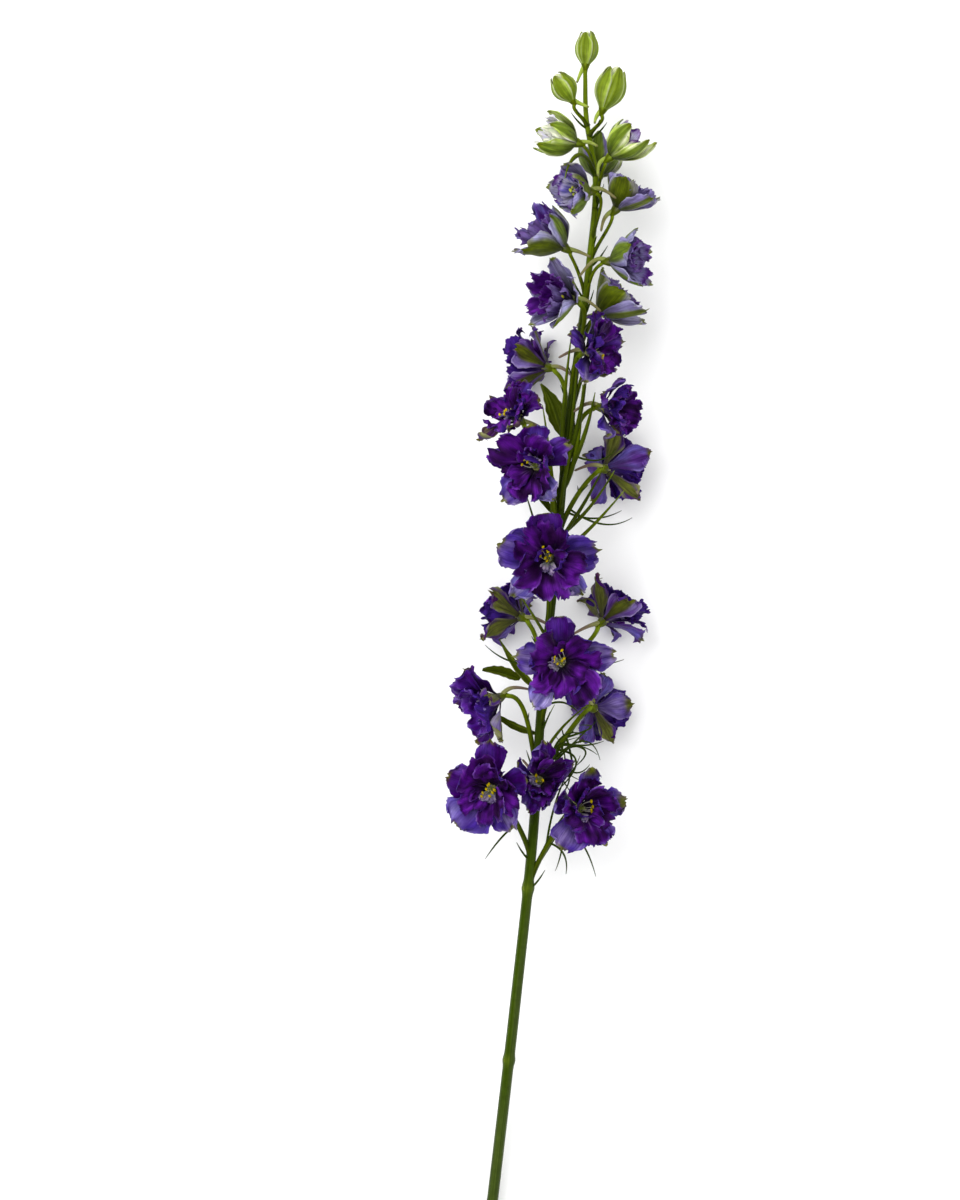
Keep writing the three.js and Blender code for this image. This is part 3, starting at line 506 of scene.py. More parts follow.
def around(sides):
    """Angles of evenly spaced points round a circle."""
    return np.linspace(0, 2 * np.pi, sides, endpoint=False)


def tube_faces(rings, sides):
    """Faces of a closed tube of rings of points, with a centre point at each end."""
    faces = []
    start = rings * sides
    for r in range(rings - 1):
        for s in range(sides):
            a = r * sides + s
            b = r * sides + (s + 1) % sides
            faces.append((a, b, b + sides, a + sides))
    last = (rings - 1) * sides
    for s in range(sides):
        t = (s + 1) % sides
        faces.append((start, t, s))
        faces.append((start + 1, last + s, last + t))
    return faces


def frames_along(path):
    """Two directions across a path at each of its points, carried along it without twist."""
    tangents = unit(np.gradient(path, axis=0))
    first = np.cross(tangents[0], (0, 0, 1))
    if np.linalg.norm(first) < 0.1:
        first = np.cross(tangents[0], (1, 0, 0))
    across = [unit(first)]
    for tangent in tangents[1:]:
        across.append(unit(across[-1] - tangent * np.dot(across[-1], tangent)))
    return np.array(across), np.cross(tangents, across)


def add_rounds(piece, rounds, ends, t, length, colour, hub=1):
    """A closed form through rounds of points, with a centre point at each end. t says how far along
    it each round is, from 0 to 1, colour is one colour or a function of t and the turn, and hub is
    the fan's first coordinate at both ends."""
    count, sides = rounds.shape[:2]
    t = np.concatenate([np.repeat(t, sides), [0, 1]])
    turn = np.concatenate([np.tile(around(sides), count), [0, 0]])
    fan = np.column_stack([np.cos(turn), t * length, np.sin(turn)])
    fan[-2:, 0] = hub
    tint = colour(t, turn) if callable(colour) else colour
    piece.add(np.vstack([rounds.reshape(-1, 3), ends]), tube_faces(count, sides), fan, tint)


def add_tube(piece, path, radii, sides, colour, ribs=0, rib_depth=0.0):
    """A tube along a path."""
    path = vec(path)
    radii = np.broadcast_to(radii, len(path))
    across, aside = frames_along(path)
    turn = around(sides)[:, None]
    reach = radii[:, None, None] * (1 + rib_depth * np.cos(ribs * turn))
    rounds = path[:, None] + (across[:, None] * np.cos(turn) + aside[:, None] * np.sin(turn)) * reach
    length = lengths_along(path)
    add_rounds(piece, rounds, path[[0, -1]], length / length[-1], 0.02 * length[-1], colour)


def fade(a, b, most):
    """The tint of a form that is a at its start and goes so far towards b at its end."""
    return lambda t, turn: mix(a, b, most * t)


# ---------- curves


def bezier(*controls, count=120):
    """Points of a Bezier curve through its control points' hull, evenly spaced."""
    t = np.linspace(0, 1, count)[:, None]
    points = [vec(c) for c in controls]
    while len(points) > 1:
        points = [a * (1 - t) + b * t for a, b in zip(points, points[1:])]
    return evenly(points[0], count)


def lengths_along(path):
    """How far along a path each of its points is."""
    steps = np.linalg.norm(np.diff(path, axis=0), axis=1)
    return np.concatenate([[0], np.cumsum(steps)])


def evenly(path, count):
    """The same path with evenly spaced points."""
    length = lengths_along(path)
    at = np.linspace(0, length[-1], count)
    return np.column_stack([np.interp(at, length, path[:, k]) for k in range(3)])


def centripetal(points, per_segment=60):
    """A centripetal Catmull-Rom curve through the points, as three.js draws it."""
    points = [vec(p) for p in points]
    ends = [2 * points[0] - points[1], *points, 2 * points[-1] - points[-2]]
    out = []
    for a, b, c, d in zip(ends, ends[1:], ends[2:], ends[3:]):
        before = np.linalg.norm(b - a) ** 0.5
        during = np.linalg.norm(c - b) ** 0.5
        after = np.linalg.norm(d - c) ** 0.5
        leave = ((b - a) / before - (c - a) / (before + during) + (c - b) / during) * during
        arrive = ((c - b) / during - (d - b) / (during + after) + (d - c) / after) * during
        t = np.linspace(0, 1, per_segment, endpoint=False)[:, None]
        cubic = 2 * b - 2 * c + leave + arrive
        square = -3 * b + 3 * c - 2 * leave - arrive
        out.append(b + leave * t + square * t**2 + cubic * t**3)
    return np.vstack([*out, points[-1]])


STEM_PATH = evenly(centripetal(STEM_LINE), 521)


def stem_point(y):
    return vec([np.interp(y, STEM_PATH[:, 1], STEM_PATH[:, k]) for k in range(3)])


# ---------- blooms and their walls


class Bloom:
    """A bloom with its own axes: upper points to the spike's tip, front the way it opens."""

    def __init__(self, seed, kind, row):
        self.name, base, facing, self.size, self.spread, self.join, self.spur = row
        self.kind = kind
        self.seed = seed
        self.origin = vec(base)
        self.front = unit(vec(facing))
        up = vec((0, 1, 0))
        self.upper = unit(up - self.front * np.dot(up, self.front))
        self.side = np.cross(self.front, self.upper)
        self.axes = vec([self.upper, self.side, self.front])
        self.reach = self.size if kind == "floret" else self.size / 2
        to_middle = FLORET_MIDDLE if kind == "floret" else DEEP_MIDDLE * self.size
        self.middle = self.origin + self.front * to_middle
        self.look = OWN_LOOKS.get(self.name, KIND_LOOKS[kind])

    def aim(self, x, y, z):
        """Directions given along upper, side and front, in the row frame."""
        return np.stack(np.broadcast_arrays(x, y, z), axis=-1) @ self.axes

    def place(self, x, y, z):
        """Points given the same way, from the bloom's base."""
        return self.origin + self.aim(x, y, z)


KINDS = [("bud", BUDS), ("opening", OPENING), ("half", HALF_OPEN), ("floret", FLORETS)]
BLOOMS = []
for kind, rows in KINDS:
    for row in rows:
        BLOOMS.append(Bloom(len(BLOOMS) + 1, kind, row))
BY_NAME = {bloom.name: bloom for bloom in BLOOMS}


def walls_of(bloom):
    """The planes between a bloom and its near neighbours, as normals and offsets."""
    walls = []
    for other in BLOOMS:
        between = other.middle - bloom.middle
        distance = np.linalg.norm(between)
        if other is bloom or distance > NEIGHBOUR_RANGE * (bloom.reach + other.reach):
            continue
        normal = between / distance
        share = distance * bloom.reach / (bloom.reach + other.reach)
        walls.append((normal, normal @ bloom.middle + share - NEIGHBOUR_ROOM))
    return walls


def press(points, walls):
    """Moves points of a petal back from the walls and up from the surface."""
    for normal, offset in walls:
        past = np.maximum(points @ normal - offset + PRESS_SOFTNESS, 0)
        kept = PRESS_SOFTNESS * (1 - np.exp(-past / PRESS_SOFTNESS))
        points = points + (kept - past)[..., None] * normal
    for normal, offset in walls:
        over = np.maximum(points @ normal - offset, 0)
        points = points - over[..., None] * normal
    low = np.maximum(FLOOR_LEVEL + FLOOR_SOFTNESS - points[..., 2], 0)
    points[..., 2] += low - FLOOR_SOFTNESS * (1 - np.exp(-low / FLOOR_SOFTNESS))
    return points


# ---------- petals and sepals

SEPAL_GRID = (19, 22)
PETAL_GRID = (26, 28)
INNER_GRID = (17, 16)
LEAF_GRID = (26, 18)
LEAF_HALF = 0.19

# Every bloom's rings of blades, from the outside in. length and half_width are shares of its size,
# opens is how far a blade slopes from its axis at the root and, in a wide open bloom, at the tip,
# and spread and vary are how much the blades of a ring differ. level is where along the axis their
# roots stand, and pale makes them the light flakes beside the stamens. Angles are in degrees.
RING = dict(
    arc=360, flare=0, tip_round=0.12, widest=0.75, swell=1.2, sepal=False, vary=0, pale=0,
    grid=INNER_GRID,
)
SEPALS = dict(RING, count=5, level=SEPAL_LEVEL, turn=0, length=1, sepal=True, grid=SEPAL_GRID)
RINGS = {
    "floret": [
        dict(
            SEPALS, half_width=0.4, opens=(50, 98), spread=30, curl=30, tip_round=0.16, widest=0.66,
            tip_narrow=0.4, ruffle=2.8, notch=0.03, teeth=0.14, swell=1.7, wild=0.9, thickness=0.42,
        ),
        dict(
            RING, count=5, level=PETAL_LEVEL, turn=36, length=0.88, half_width=0.41, opens=(27, 78),
            spread=56, curl=20, tip_narrow=0.2, ruffle=2.4, notch=0.17, teeth=0.13, swell=1.7, wild=1.4,
            thickness=0.34, grid=PETAL_GRID, vary=0.36,
        ),
        dict(
            RING, count=3, level=INNER_LEVEL, turn=10, length=0.62, half_width=0.25, opens=(18, 62),
            spread=70, curl=9, tip_narrow=0.12, ruffle=1.9, notch=0.14, teeth=0.16, swell=1.7, wild=1.5,
            thickness=0.32, vary=0.4,
        ),
        dict(
            RING, count=3, level=FLAKE_LEVEL, turn=-30, arc=90, length=0.35, half_width=0.12,
            opens=(8, 76), spread=50, curl=4.5, widest=0.7, tip_narrow=0.2, ruffle=1.0, notch=0.2,
            teeth=0.24, wild=0.9, thickness=0.3, pale=0.95, vary=0.3,
        ),
    ],
    "half": [
        dict(
            SEPALS, half_width=0.32, opens=(58, 14), spread=24, flare=24, curl=9, tip_round=0.2,
            widest=0.6, tip_narrow=0.42, ruffle=1.5, notch=0.03, teeth=0.11, swell=0.85, wild=0.35,
            thickness=0.45,
        ),
        dict(
            RING, count=4, level=PETAL_LEVEL, turn=30, length=0.94, half_width=0.28, opens=(34, 10),
            spread=24, flare=10, curl=10, tip_narrow=0.1, ruffle=1.8, notch=0.08, teeth=0.18, wild=0.7,
            thickness=0.34, grid=PETAL_GRID,
        ),
        dict(
            RING, count=4, level=INNER_LEVEL, turn=70, length=0.7, half_width=0.22, opens=(16, 6),
            spread=30, curl=6, tip_narrow=0.1, ruffle=1.4, notch=0.1, teeth=0.2, wild=0.8, thickness=0.32,
        ),
    ],
    "opening": [
        dict(
            SEPALS, half_width=0.27, opens=(64, -26), spread=20, flare=16, curl=6, tip_round=0.25,
            widest=0.55, tip_narrow=0.45, ruffle=0.4, notch=0.0, teeth=0.05, swell=0.9, wild=0.2,
            thickness=0.5,
        ),
        dict(
            RING, count=3, level=PETAL_LEVEL, turn=36, length=0.84, half_width=0.2, opens=(30, -18),
            spread=20, curl=6, tip_round=0.2, widest=0.6, tip_narrow=0.3, ruffle=0.8, notch=0.08,
            teeth=0.12, wild=0.5, thickness=0.34,
        ),
        dict(
            RING, count=5, level=PETAL_LEVEL, turn=0, length=0.86, half_width=0.24, opens=(46, -20),
            spread=16, curl=6, tip_round=0.2, widest=0.6, tip_narrow=0.3, ruffle=0.9, notch=0.08,
            teeth=0.14, swell=1.0, wild=0.5, thickness=0.34,
        ),
    ],
}
# How many of a bloom's rings are in the CAD too.
CAD_RINGS = 2


def midline(blade, s):
    """Distance from the bloom's axis, height along it and slope, at distances s along a blade."""
    steps = 12
    radius = np.full_like(s, ROOT_START * ROOT_RING)
    height = np.full_like(s, blade.level)
    opens_from, opens_to = np.radians(blade.opens)
    for i in range(steps):
        x = (i + 0.5) / steps * s / blade.length
        slope = opens_from + (opens_to - opens_from) * x + np.radians(blade.flare) * x**3
        radius = radius + np.sin(slope) * s / steps
        height = height + np.cos(slope) * s / steps
    return radius, height, slope


def ragged(x, phases):
    """How far an edge falls short at x millimetres along it, from 0 to 1: broad and fine teeth."""
    broad = np.abs(np.sin(0.5 * x + phases[0]))
    fine = np.abs(np.sin(0.95 * x + phases[1] + 0.9 * np.sin(0.6 * x + phases[2])))
    finest = np.abs(np.sin(2.1 * x + phases[3] + 1.2 * np.sin(0.8 * x + phases[0])))
    return 0.35 * broad + 0.35 * fine + 0.3 * finest


def blade_middle(blade, u, v, phases):
    """The middle surface of a blade in the bloom's own axes."""
    wide, long_ = blade.half_width, blade.length
    notch = blade.notch * bell(v - 0.3 * np.sin(phases[4]), 0.13)
    notch = notch + 0.7 * blade.notch * bell(v - 0.8 * np.sin(phases[6]), 0.07)
    short = notch * u**4 + blade.teeth * ragged(v * wide, phases) * u**5
    s = u * long_ * (1 - blade.tip_round * v * v * u * u - short)
    radius, height, slope = midline(blade, s)
    grow = np.sin(np.pi / 2 * np.minimum(1, u / blade.widest)) ** blade.swell
    past = np.maximum(0, (u - blade.widest) / (1 - blade.widest))
    full = BLADE_ROOT_HALF + (wide - BLADE_ROOT_HALF) * grow
    side_teeth = ragged(u * long_ + 9 * np.sign(v), phases[1:]) * np.abs(v) ** 3
    half = full * (1 - blade.tip_narrow * past**2) * (1 - 1.1 * blade.teeth * side_teeth)
    wrap = v * half / blade.curl
    rim = u * np.abs(v)
    wild = blade.wild
    wave = blade.ruffle * rim**1.5 * np.sin(blade.phase + 7 * u + 2.2 * v)
    frill = 0.34 * blade.ruffle * (np.maximum(u**5, rim**2.5)) * np.sin(phases[5] + 15 * u + 9 * v)
    frill = frill + 0.1 * blade.ruffle * np.maximum(u**8, rim**4) * np.sin(phases[2] + 29 * u + 19 * v)
    lap = 0.24 * v * half * np.minimum(1, 3 * u)
    fold = wild * 0.3 * np.sin(phases[6]) * half * (np.sqrt(v * v + 0.02) - 0.14) * smooth(u, 0.1, 0.6)
    twist = wild * 0.36 * np.sin(phases[7]) * v * half * u * u
    buckle = wild * 0.9 * u * np.sin(5.5 * u + phases[2]) * np.cos(2.6 * v + phases[5])
    inward = blade.curl * (1 - np.cos(wrap)) + wave + frill + lap + fold + twist + buckle
    x = radius - np.cos(slope) * inward
    y = blade.curl * np.sin(wrap) + wild * 0.09 * long_ * np.sin(phases[0]) * u * u
    z = height + np.sin(slope) * inward
    c = math.cos(blade.turn)
    d = math.sin(blade.turn)
    return x * c - y * d, x * d + y * c, z


def rim_of(u, v):
    """0 in the middle of a blade and 1 at its rim."""
    return smooth(np.maximum(u, np.abs(v)), 0.45, 0.95)


def ridge(x):
    """Sharp-crested folds from 0 to 1."""
    return 1 - np.abs(np.sin(x))


def creases(u, v, phases):
    """How high the folds of a crumpled blade stand, from 0 to 1: along it, and slanting two ways."""
    along = ridge(5.5 * v + 0.9 * np.sin(4 * u + phases[6]) + phases[1])
    slant = ridge(4.4 * u + 3.1 * v + 0.7 * np.sin(5 * v + phases[2]) + phases[7])
    other = ridge(9.0 * u - 5.6 * v + 0.8 * np.sin(4 * u + phases[3]) + phases[5])
    return 0.32 * along + 0.4 * slant + 0.28 * other


def patches(u, v, phases):
    """Light and dark areas of a blade, from 0 to 1."""
    broad = 0.6 * np.sin(3 * u + 2.3 * v + phases[3]) + 0.4 * np.sin(5.5 * v - 4 * u + phases[5])
    small = np.sin(8 * u + 5 * v + phases[1]) * np.sin(7 * v - 6 * u + phases[7])
    return smooth(0.5 + 0.36 * broad + 0.22 * small, 0.12, 0.88)


def sepal_tints(look, blade, u, v, light):
    """Back and front of a sepal: green ribs and tip, pale margins, and a painted sheen on its front,
    stronger on the lower sepals.
    """
    width = look["rib_width"] * (1 - 0.45 * u**2) + 1e-3
    rib = (1 - smooth(np.abs(v), 0.5 * width, width)) * smooth(u, -0.2, 0.12)
    rib = rib * min(1, 4 * look["rib_width"])
    streak = 0.5 + 0.3 * np.cos(19 * v + 6 * blade.hue) + 0.2 * np.cos(37 * v + 5 * u + 9 * blade.hue)
    # Painted sheen: pale over the outer part of the front, in its light areas, in fine streaks.
    sheen = smooth(u, 0.3, 1) * light * (0.85 + 0.15 * np.cos(31 * v + 4 * u))
    patch = look.get("patch", 0.16)
    tip = smooth(u, 1 - patch, 1 - 0.4 * patch) * bell(v, 0.2 + patch)
    pale = mix(look["margin"], WHITE_LILAC, light)
    back = paint(
        mix(look["sepal_back"], look["margin"], light),
        (look["sepal"], 0.6 * (1 - light) ** 1.5),
        (pale, smooth(np.abs(v), 0.75, 1) * 0.3),
        (mix(look["rib"], DARK_GREEN, 0.05 + 0.4 * streak), 0.94 * rib),
        (mix(RIB_GREEN, OLIVE, light), 0.95 * tip),
    )
    front = paint(
        mix(look["sepal"], look["sepal_light"], light * (0.4 + 0.6 * blade.hue)),
        (mix(look["margin"], look["rib"], 0.4), 0.3 * rib * (1 - 0.5 * u)),
        (pale, (0.12 + 0.34 * blade.glow) * sheen),
        (mix(RIB_GREEN, PALE_OLIVE, light), 0.95 * tip),
    )
    return back, front


def petal_tints(look, blade, u, v, light):
    """Back and front of a petal: light areas with painted light on the lower petals, dark tip, frosted
    edge, pale throat and flames.
    """
    bright = mix(look["bright"], look["petal_light"], 0.2 + 0.6 * blade.hue)
    lit = blade.glow * light * smooth(u, 0.15, 0.6)
    dark = smooth(u, 0.66, 0.92) * (0.4 + 0.6 * light) if "petal_tip" in look else 0
    dark_tip = look.get("petal_tip", look["petal"])
    edge = smooth(np.maximum(u, np.abs(v)), 0.84, 1) * smooth(u, 0.3, 0.7)
    frost = look.get("frost", 0.15) + 0.6 * blade.hue**2
    throat = mix(look["throat"], WHITE_LILAC, light)
    throat = mix(throat, mix(PALE_LAVENDER, FLAKE_WHITE, 1.4 * light + 0.2), blade.pale)
    root = np.minimum(1, bell(u, 0.2) + blade.pale * (1 - 0.4 * u))
    streak = np.maximum(0.6 + 0.4 * np.cos(14 * v + 6 * blade.hue + 2 * u), 0.85 * blade.pale)
    flame = smooth(np.cos(15 * v + 2 * np.sin(3 * u + 6 * blade.hue) + 9 * blade.hue), 0.4, 1)
    back = paint(
        mix(look["petal_back"], look["petal"], 0.3 * light + 0.1),
        (dark_tip, 0.8 * dark),
        (throat, 0.7 * root),
    )
    front = paint(
        mix(look["petal"], look["petal_light"], light),
        (bright, 0.9 * light**2),
        (mix(look["lit"], look["petal_light"], 0.5 * blade.hue), 0.75 * lit),
        (dark_tip, dark),
        (mix(look["petal_back"], PALE_LAVENDER, light), frost * edge),
        (throat, 0.95 * root * streak),
        (mix(LAVENDER, WHITE_LILAC, light), 0.5 * blade.hue * flame * bell(u - 0.3, 0.22) * light),
    )
    return back, front


def blade_tints(blade, u, v, light, crest):
    """Colours of the back and the front of a blade, with painted shade darkening it towards its root and
    painted light and shade on its folds. light is its light areas, crest its folds.
    """
    tints = sepal_tints if blade.sepal else petal_tints
    back, front = tints(blade.look, blade, u, v, light)
    # Painted shade: darker towards the root, deep inside the bloom.
    shade = np.maximum(0.32 + 0.68 * smooth(u, 0.0, 0.6), blade.pale)
    # Painted light and shade on the folds: crests lighter on the front, darker on the back.
    relief = 0.34 * (crest - 0.4)
    back_shade = (0.5 + 0.5 * shade) * (1 - relief)
    return back * back_shade[..., None], front * (shade * (1 + relief))[..., None]


def add_blade(piece, bloom, blade, walls, random):
    """One petal or sepal as a thin closed shell with a thinner rim."""
    phases = [2 * np.pi * random() for _ in range(8)]
    u, v = sheet_grid(*blade.grid)
    u = u**0.8
    middle = press(bloom.place(*blade_middle(blade, u, v, phases)), walls)
    normal = sheet_normals(middle)
    crest = creases(u, v, phases)
    pleats = (0.03 if blade.sepal else 0.06) * np.sin(22 * v + phases[6]) * smooth(u, 0.05, 0.5)
    crumple = 0.14 * np.sin(19 * u + 3 * v + phases[1]) * np.sin(13 * v + 6 * u + phases[3])
    crumple = (crumple - 0.8 * (crest - 0.4)) * smooth(u, 0.1, 0.5) * (0.55 + 0.45 * rim_of(u, v))
    middle = middle + normal * (pleats + blade.wild * crumple)[..., None]
    middle[..., 2] = np.maximum(middle[..., 2], FLOOR_LOWEST)
    rim = np.maximum(np.abs(v), u) ** 6
    midrib = 0.4 * bell(v, 0.1) * (1 - u) if blade.sepal else 0
    half = blade.thickness / 2 * (1 - 0.65 * rim) * (1 + midrib)
    back, front = blade_tints(blade, u, v, patches(u, v, phases), crest)
    add_sheet(piece, u, v, middle, half, blade.tone, back, front, shift=0.5)


def add_ring(piece, bloom, ring, walls, random, detail):
    """A ring of blades. random draws what the CAD draws, detail draws what is only here."""
    sepal, size, vary = ring["sepal"], bloom.size, ring["vary"]
    share = 1 if sepal else PETAL_SHARES.get(bloom.name, 1)
    wider = 0 if sepal else WIDER_OPEN.get(bloom.name, 0)
    first = ring["turn"] if ring["arc"] == 360 else ring["turn"] + FLAKE_TURNS.get(bloom.name, FLAKE_TURN)
    opens_from, opens_to = ring["opens"]
    for i in range(ring["count"]):
        look = bloom.look
        if sepal and bloom.name in OWN_SEPALS:
            look = {**look, **SEPAL_LOOKS[OWN_SEPALS[bloom.name].split()[i]]}
        blade = dict(
            ring,
            length=ring["length"] * size * share * look.get("long", 1.0) * (0.9 + 0.2 * random()),
            half_width=ring["half_width"] * size * (0.92 + 0.16 * random()) * look.get("width", 1.0),
            opens=(opens_from, opens_to * bloom.spread + wider + ring["spread"] * (random() - 0.5)),
            turn=math.radians(first + ring["arc"] * i / ring["count"]) + 0.24 * (random() - 0.5),
            phase=2 * np.pi * random(),
            tone=10 * detail(),
            hue=detail(),
            notch=ring["notch"] * 2 * detail(),
            tip_narrow=ring["tip_narrow"] + look.get("narrow", 0.0),
            look=look,
        )
        blade["length"] *= 1 + vary * (detail() - 0.6)
        blade["turn"] += 2 * vary * (detail() - 0.5)
        # Painted light: blades on a bloom's lower side get more of the lit colour and of the painted
        # sepal sheen, those on its upper side less.
        blade["glow"] = 0.5 - 0.5 * math.cos(blade["turn"])
        add_blade(piece, bloom, SimpleNamespace(**blade), walls, detail)


def add_corolla(piece, bloom):
    """Every ring of a bloom's blades on their pad, kept clear of its neighbours."""
    walls = walls_of(bloom)
    random = seeded_random(bloom.seed)
    detail = seeded_random(bloom.seed + DETAIL_SEED)
    add_receptacle(piece, bloom)
    for number, ring in enumerate(RINGS[bloom.kind]):
        add_ring(piece, bloom, ring, walls, random if number < CAD_RINGS else detail, detail)


# ---------- cup, spur, stamens


def add_lathe(piece, bloom, profile, sides, colour):
    """A turned closed form; the profile lists (radius, distance along the bloom's axis)."""
    radii, heights = vec(profile).T[..., None]
    rounds = bloom.place(*circle(radii, around(sides), heights))
    ends = bloom.place(0, 0, heights[[0, -1], 0])
    add_rounds(piece, rounds, ends, np.linspace(0, 1, len(profile)), 1, colour)


def add_receptacle(piece, bloom):
    """The pad that carries the blades' roots, in front of the cup."""
    profile = [(1.6, 0.2), (2.0, 0.7), (2.1, 1.2), (2.0, 2.0), (1.6, 2.6), (0.9, 2.85)]
    add_lathe(piece, bloom, profile, 16, mix(CREAM_GREEN, OLIVE, 0.4))


def add_cup_and_spur(piece, bloom, greenness):
    """The cup behind a bloom and the spur that springs from its upper side."""
    profile = [
        (0.8, CUP_BACK - 0.1), (0.95, -3.0), (1.1, -2.4), (1.35, -1.7), (1.65, -1.0), (1.9, -0.3),
        (2.05, 0.3), (2.0, 0.8),
    ]
    pale = mix(SPUR_PALE, YELLOW_GREEN, greenness)

    def cup_colour(t, turn):
        streak = 0.5 + 0.5 * np.cos(5 * turn)
        rim = mix(bloom.look["sepal_back"], bloom.look["rib"], 0.4)
        return mix(mix(RIB_GREEN, OLIVE, streak), mix(rim, OLIVE, streak), smooth(t, 0.3, 1))

    add_lathe(piece, bloom, profile, 20, cup_colour)
    start = bloom.place(0.6, 0, -1.5)
    tip = bloom.origin + vec(bloom.spur)
    length = np.linalg.norm(tip - start)
    lead = start + length * bloom.aim(0.2, 0, -0.32)
    late = tip + 0.45 * (lead - tip)
    path = bezier(start, lead, late, tip, count=30)
    t = np.linspace(0, 1, 30)
    radii = (1.15 - 0.7 * t**0.6) * np.sqrt(np.clip((1.02 - t) / 0.06, 0, 1))

    def spur_colour(t, turn):
        body = mix(pale, mix(SPUR_MAUVE, YELLOW_GREEN, greenness), smooth(t, 0.1, 0.6))
        return mix(body, mix(DARK_GREEN, SPUR_MAUVE, 0.6), 0.5 * smooth(t, 0.85, 1))

    add_tube(piece, path, radii, 12, spur_colour, **FINE_RIBS)


def add_stamens(piece, bloom, count, length, spread, carpel=CARPEL_RADIUS, anther=ANTHER_YELLOW):
    """Filaments that lean out from the pad, each with its anther, round three small green carpels."""
    random = seeded_random(bloom.seed + STAMEN_SEED)
    turn = 2 * np.pi * random()
    sway = bloom.aim(*STAMEN_SWAY.get(bloom.name, (0.4 * math.cos(turn), 0.4 * math.sin(turn))), 0)
    pad = [(1.0, -0.6), (1.15, 0), (0.95, 0.5), (0.5, 0.8)]
    pad = [(radius, STAMEN_BASE + height) for radius, height in pad]
    add_lathe(piece, bloom, pad, 12, mix(CREAM_GREEN, RIB_GREEN, 0.5))
    for i in range(count):
        turn = 2 * np.pi * (i + 0.6 * random()) / count
        lean = math.radians(4 + spread * random())
        tall = length * (0.7 + 0.45 * random())
        droop = 0.9 * random()
        foot = bloom.place(*circle(0.6, turn, STAMEN_BASE))
        way = bloom.aim(*circle(math.sin(lean), turn, math.cos(lean)))
        knee = foot + way * tall * 0.55
        head = foot + way * tall + (0.25 * (bloom.front - way) + sway) * tall - bloom.upper * droop
        path = bezier(foot, knee, head, count=9)
        add_tube(piece, path, 0.16, 6, fade(FILAMENT_PALE, LAVENDER, 0.35))
        radius = 0.5 + 0.14 * random()
        add_anther(piece, head, unit(head - knee), radius, mix(anther, ANTHER_BROWN, 0.4 * random()))
    for i in range(3):
        turn = 2 * np.pi * i / 3
        foot = bloom.place(*circle(0.3, turn, STAMEN_BASE + 0.4))
        head = foot + bloom.aim(*circle(0.45, turn, 0.6 * length))
        path = bezier(foot, foot + bloom.front * 1.5, head, count=8)
        add_tube(piece, path, np.linspace(carpel, 0.1, 8), 7, fade(YELLOW_GREEN, CREAM_GREEN, 1))


def add_anther(piece, centre, way, radius, tint):
    """A two-lobed anther across the end of its filament."""
    across = unit(np.cross(way, (0.3, 0.2, 1)))
    t = np.linspace(0, 1, 7)
    path = centre + across * ((t[:, None] - 0.5) * 2.6 * radius)
    radii = np.sqrt(np.clip(1 - (2 * t - 1) ** 2, 0.02, 1)) * (0.86 + 0.14 * np.cos(4 * np.pi * t))
    add_tube(piece, path, radius * radii, 8, fade(tint, ANTHER_BROWN, 0.2))


# ---------- buds

BUD_RIBS = 5
BUD_RIB_DEPTH = 0.07
# How much slimmer a bud is under its sepals than its CAD solid.
BUD_SLIM = 0.55
# How far the seams of each bud are turned round it, in degrees.
BUD_TURNS = {"bud_1": 22, "bud_2": 12, "bud_3": -6}
BUD_NECK = 0.8
BUD_CORE_INSET = 0.45
BUD_GRID = (28, 18)
BUD_SEPAL_HALF = 0.2


def bud_radius(bloom, t, turn):
    swell = np.maximum(0, np.sin(np.pi * t**1.2)) ** (1.1 - 0.5 * t)
    swell = swell * (BUD_NECK + (1 - BUD_NECK) * smooth(t, 0.05, 0.4))
    return (bloom.spread / 2 * (1 + BUD_RIB_DEPTH * np.cos(BUD_RIBS * turn)) - BUD_SLIM) * swell


def bud_point(bloom, t, turn, out):
    radius = bud_radius(bloom, t, turn) + out
    height = CUP_BACK + (bloom.size - CUP_BACK) * t
    return bloom.place(*circle(radius, turn, height))


